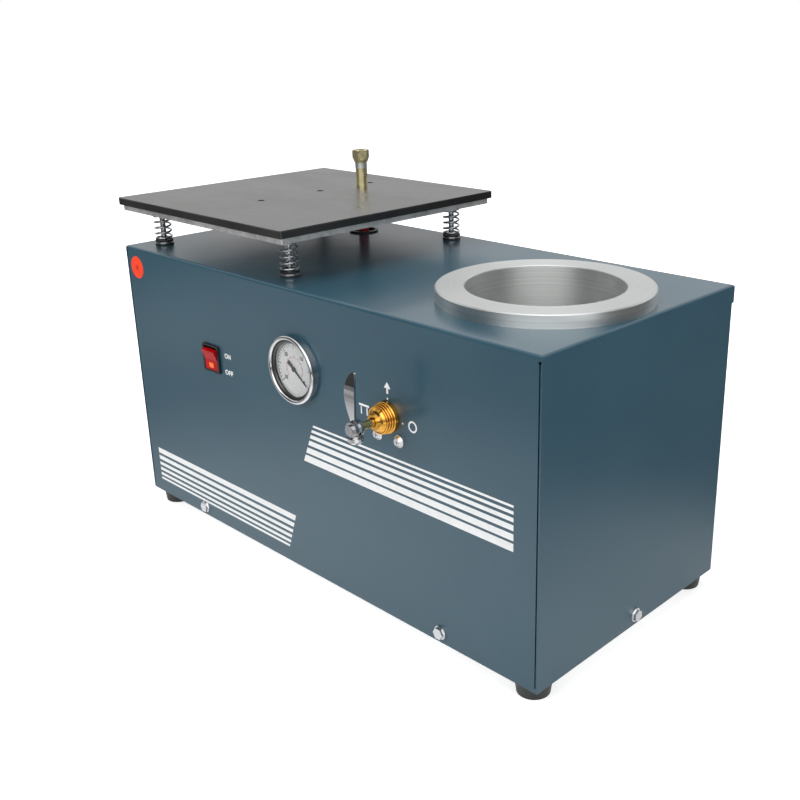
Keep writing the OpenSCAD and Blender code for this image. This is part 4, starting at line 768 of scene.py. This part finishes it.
def dial_point(value, r):
    """Where value stands on the dial: it runs from low right, over the top, to low left."""
    a = math.radians(-38 + 256 * value / DIAL_TOP)
    return GAUGE_X + r * math.cos(a), GAUGE_Z + r * math.sin(a)


def dial_arc(outer, inner, steps=90):
    """A thin band over the whole scale."""
    values = [DIAL_TOP * k / steps for k in range(steps + 1)]
    there = [dial_point(value, outer) for value in values]
    back = [dial_point(value, inner) for value in reversed(values)]
    return [there + back]


def tick(value, inner, outer, width):
    return [bar(*dial_point(value, inner), *dial_point(value, outer), width)]


def dial_print():
    scale = [tick(value, 21.6, 26.4, 0.75) if value % 5 == 0 else tick(value, 23.4, 26.4, 0.42)
             for value in range(DIAL_TOP + 1)]
    scale.append(dial_arc(26.9, 26.4))
    print_on("dial_scale", scale, DIAL_Y, black_ink, 0.03)
    inner_scale = [tick(3 * i, 12.4, 14.0 if i % 5 else 14.6, 0.4) for i in range(11)]
    inner_scale.append(dial_arc(12.5, 12.1))
    print_on("dial_inner_scale", inner_scale, DIAL_Y, red_ink, 0.03)
    for value in (0, 10, 20, 30):
        x, z = dial_point(value, 18.2)
        width = 2.6 if value == 0 else 5.4
        lettering(f"dial_{value}", str(value), x, z, width, 4.2, DIAL_Y, black_ink)


dial_print()


# ---------------------------------------------------------------- lamp window of the rocker


ROCKER_TILT = math.radians(11)
ROCKER_PIVOT_Y = 5


def rocker_point(x, y, z):
    """A point of the rocker, given in its middle place, as it stands tilted at rest."""
    c, d = math.cos(ROCKER_TILT), math.sin(ROCKER_TILT)
    back = y - ROCKER_PIVOT_Y
    return place(SWITCH_X + x, ROCKER_PIVOT_Y + back * c - z * d, SWITCH_Z + back * d + z * c)


def lamp_window():
    """A slightly domed lens on the lower face of the rocker: an oblong with round corners."""
    face_y, face_slope = -2.6, 2 / 11.6    # that face comes forward on its way down
    middle_z, half_width, half_height, squareness = -6.2, 4.2, 2.9, 0.45
    steps = 28
    levels = [(1.0, -0.15), (1.0, 0.12), (0.93, 0.3), (0.75, 0.42), (0.4, 0.5)]
    verts = []
    for share, rise in levels:
        for k in range(steps):
            across, up = (math.copysign(abs(w) ** squareness, w) * share for w in turn(k, steps))
            z = middle_z + half_height * up
            verts.append(rocker_point(half_width * across, face_y + z * face_slope - rise, z))
    faces = strips(len(levels), steps)
    faces.append([len(verts) - steps + k for k in range(steps)])
    faces.append(list(range(steps))[::-1])
    add_piece("lamp_window", verts, faces, lamp_glow, "rocker")


lamp_window()


# ---------------------------------------------------------------- camera, floor and light


def add_camera():
    azimuth, elevation, roll = (math.radians(a) for a in (44.058, 19.746, -0.848))
    where = (0.77943, FRONT_Y / 1000 - 0.58279, 0.57468)
    # focal length and middle of the lens, in pixels of the frame
    frame_size, focal, middle_x, middle_y = 800, 1021.986, 452.502, 380.56
    ahead = Vector((-math.sin(azimuth) * math.cos(elevation),
                    math.cos(azimuth) * math.cos(elevation), -math.sin(elevation)))
    right = Vector((math.cos(azimuth), math.sin(azimuth), 0))
    up = right.cross(ahead)
    turned_right = right * math.cos(roll) + up * math.sin(roll)
    turned_up = -right * math.sin(roll) + up * math.cos(roll)
    rotation = Matrix((turned_right, turned_up, -ahead)).transposed().to_4x4()
    data = bpy.data.cameras.new("camera")
    data.sensor_width = 36
    data.lens = focal / frame_size * data.sensor_width
    data.shift_x = (frame_size / 2 - middle_x) / frame_size
    data.shift_y = (middle_y - frame_size / 2) / frame_size
    data.clip_start = 0.02
    data.clip_end = 60
    camera = bpy.data.objects.new("camera", data)
    camera.matrix_world = Matrix.Translation(where) @ rotation
    bpy.context.scene.collection.objects.link(camera)
    bpy.context.scene.camera = camera


def mirrored(tree):
    """1 for the rays by which gloss and glass show what is around them."""
    path = tree.nodes.new("ShaderNodeLightPath")
    return tree_math(tree, "MAXIMUM", path.outputs["Is Glossy Ray"],
                     path.outputs["Is Transmission Ray"])


def add_floor():
    """Gloss sees sheets of white paper that end in the dark, the camera sees white all over."""
    mesh = bpy.data.meshes.new("floor")
    n, radius = 64, 9.0
    mesh.from_pydata([(x, y, -0.0002) for x, y in circle(0, 0, radius, n)], [], [list(range(n))])
    floor = bpy.data.objects.new("floor", mesh)
    bpy.context.scene.collection.objects.link(floor)
    f = Finish("floor", (0.86, 0.86, 0.86), 0.9, Specular_IOR_Level=0.0)
    f.set("Emission Color", (1, 1, 1, 1))

    def off(centre):
        return vector_math(f.tree, "DISTANCE", f.where, centre)

    path = f.tree.nodes.new("ShaderNodeLightPath")
    seen = f.math("MULTIPLY", path.outputs["Is Camera Ray"],
                  ramp(f.tree, off((0, 0, 0)), 0.35, 0.9, 0.6, 1.0))
    under = off((0.0, -0.15, 0))
    sheets = ramp(f.tree, under, 0.1, 0.5, 0.3, 0.0)
    for centre, start, end, level in (((1.1, -0.6, 0), 0.45, 0.8, 1.1),
                                      ((-0.85, -0.85, 0), 0.25, 0.6, 0.5),
                                      ((0.37, 0.1, 0), 0.1, 0.3, 0.3)):
        sheets = f.math("ADD", sheets, ramp(f.tree, off(centre), start, end, level, 0.0))
    gloss = mirrored(f.tree)
    f.link(f.math("ADD", seen, f.math("MULTIPLY", gloss, sheets)), "Emission Strength")
    paper = f.mix(f.spread(f.noise(25.0, 3.0), 0, 1), (0.86, 0.86, 0.86), (0.85, 0.85, 0.85))
    dark = f.math("MULTIPLY", gloss, ramp(f.tree, under, 0.2, 0.8, 0.0, 1.0))
    f.color(f.mix(dark, paper, (0.15, 0.15, 0.15)))
    mesh.materials.append(f.material)


def add_world():
    """White backdrop; gloss also sees a ceiling, a soft window by the camera and dark walls."""
    world = bpy.data.worlds.new("world")
    bpy.context.scene.world = world
    world.use_nodes = True
    tree = world.node_tree
    tree.nodes.clear()
    out = tree.nodes.new("ShaderNodeOutputWorld")
    coords = tree.nodes.new("ShaderNodeTexCoord").outputs["Generated"]

    def facing(direction):
        return vector_math(tree, "DOT_PRODUCT", coords, Vector(direction).normalized())

    dark = 0.08
    height = facing((0, 0, 1))
    backdrop = tree_math(tree, "MULTIPLY",
                         ramp(tree, facing((-0.62, 0.70, 0.35)), 0.15, 0.65, dark, 1.0),
                         ramp(tree, height, 0.20, 0.30, 0.58, 0.98))
    ceiling = ramp(tree, height, 0.60, 0.85, dark, 1.0)
    window = tree_math(tree, "MULTIPLY",
                       ramp(tree, facing((0.60, -0.64, 0.48)), 0.52, 0.86, dark, 2.3),
                       ramp(tree, height, 0.05, 0.45, 0.35, 1.0))
    room = tree_math(tree, "MAXIMUM", tree_math(tree, "MAXIMUM", backdrop, ceiling), window)

    def background(strength, color=(1, 1, 1, 1)):
        made = tree.nodes.new("ShaderNodeBackground")
        made.inputs["Color"].default_value = color
        feed(tree, made.inputs["Strength"], strength)
        return made.outputs[0]

    def mix(share, a, b):
        made = tree.nodes.new("ShaderNodeMixShader")
        for socket, output in zip(made.inputs, (share, a, b)):
            tree.links.new(output, socket)
        return made.outputs[0]

    path = tree.nodes.new("ShaderNodeLightPath")
    unseen = mix(mirrored(tree), background(0.45, (0.97, 0.985, 1.0, 1)), background(room))
    surface = mix(path.outputs["Is Camera Ray"], unseen, background(1.0))
    tree.links.new(surface, out.inputs["Surface"])


def add_lamp(name, where, size, power):
    """A soft box that faces the object; gloss sees the room of the world instead."""
    target = Vector((0, 0, 0.2))
    data = bpy.data.lights.new(name, "AREA")
    data.shape = "RECTANGLE"
    data.size, data.size_y = size
    data.energy = power
    lamp = bpy.data.objects.new(name, data)
    bpy.context.scene.collection.objects.link(lamp)
    lamp.location = where
    lamp.visible_glossy = False
    lamp.rotation_mode = "QUATERNION"
    lamp.rotation_quaternion = (target - Vector(where)).to_track_quat("-Z", "Y")


add_camera()
add_floor()
add_world()
add_lamp("top_box", (-0.2, 0.1, 2.3), (1.8, 1.4), 23)
add_lamp("front_box", (-0.9, -1.9, 1.25), (1.2, 1.0), 21)
add_lamp("side_box", (2.1, -0.2, 1.0), (0.9, 1.1), 13)
bpy.context.scene.view_settings.view_transform = "Standard"
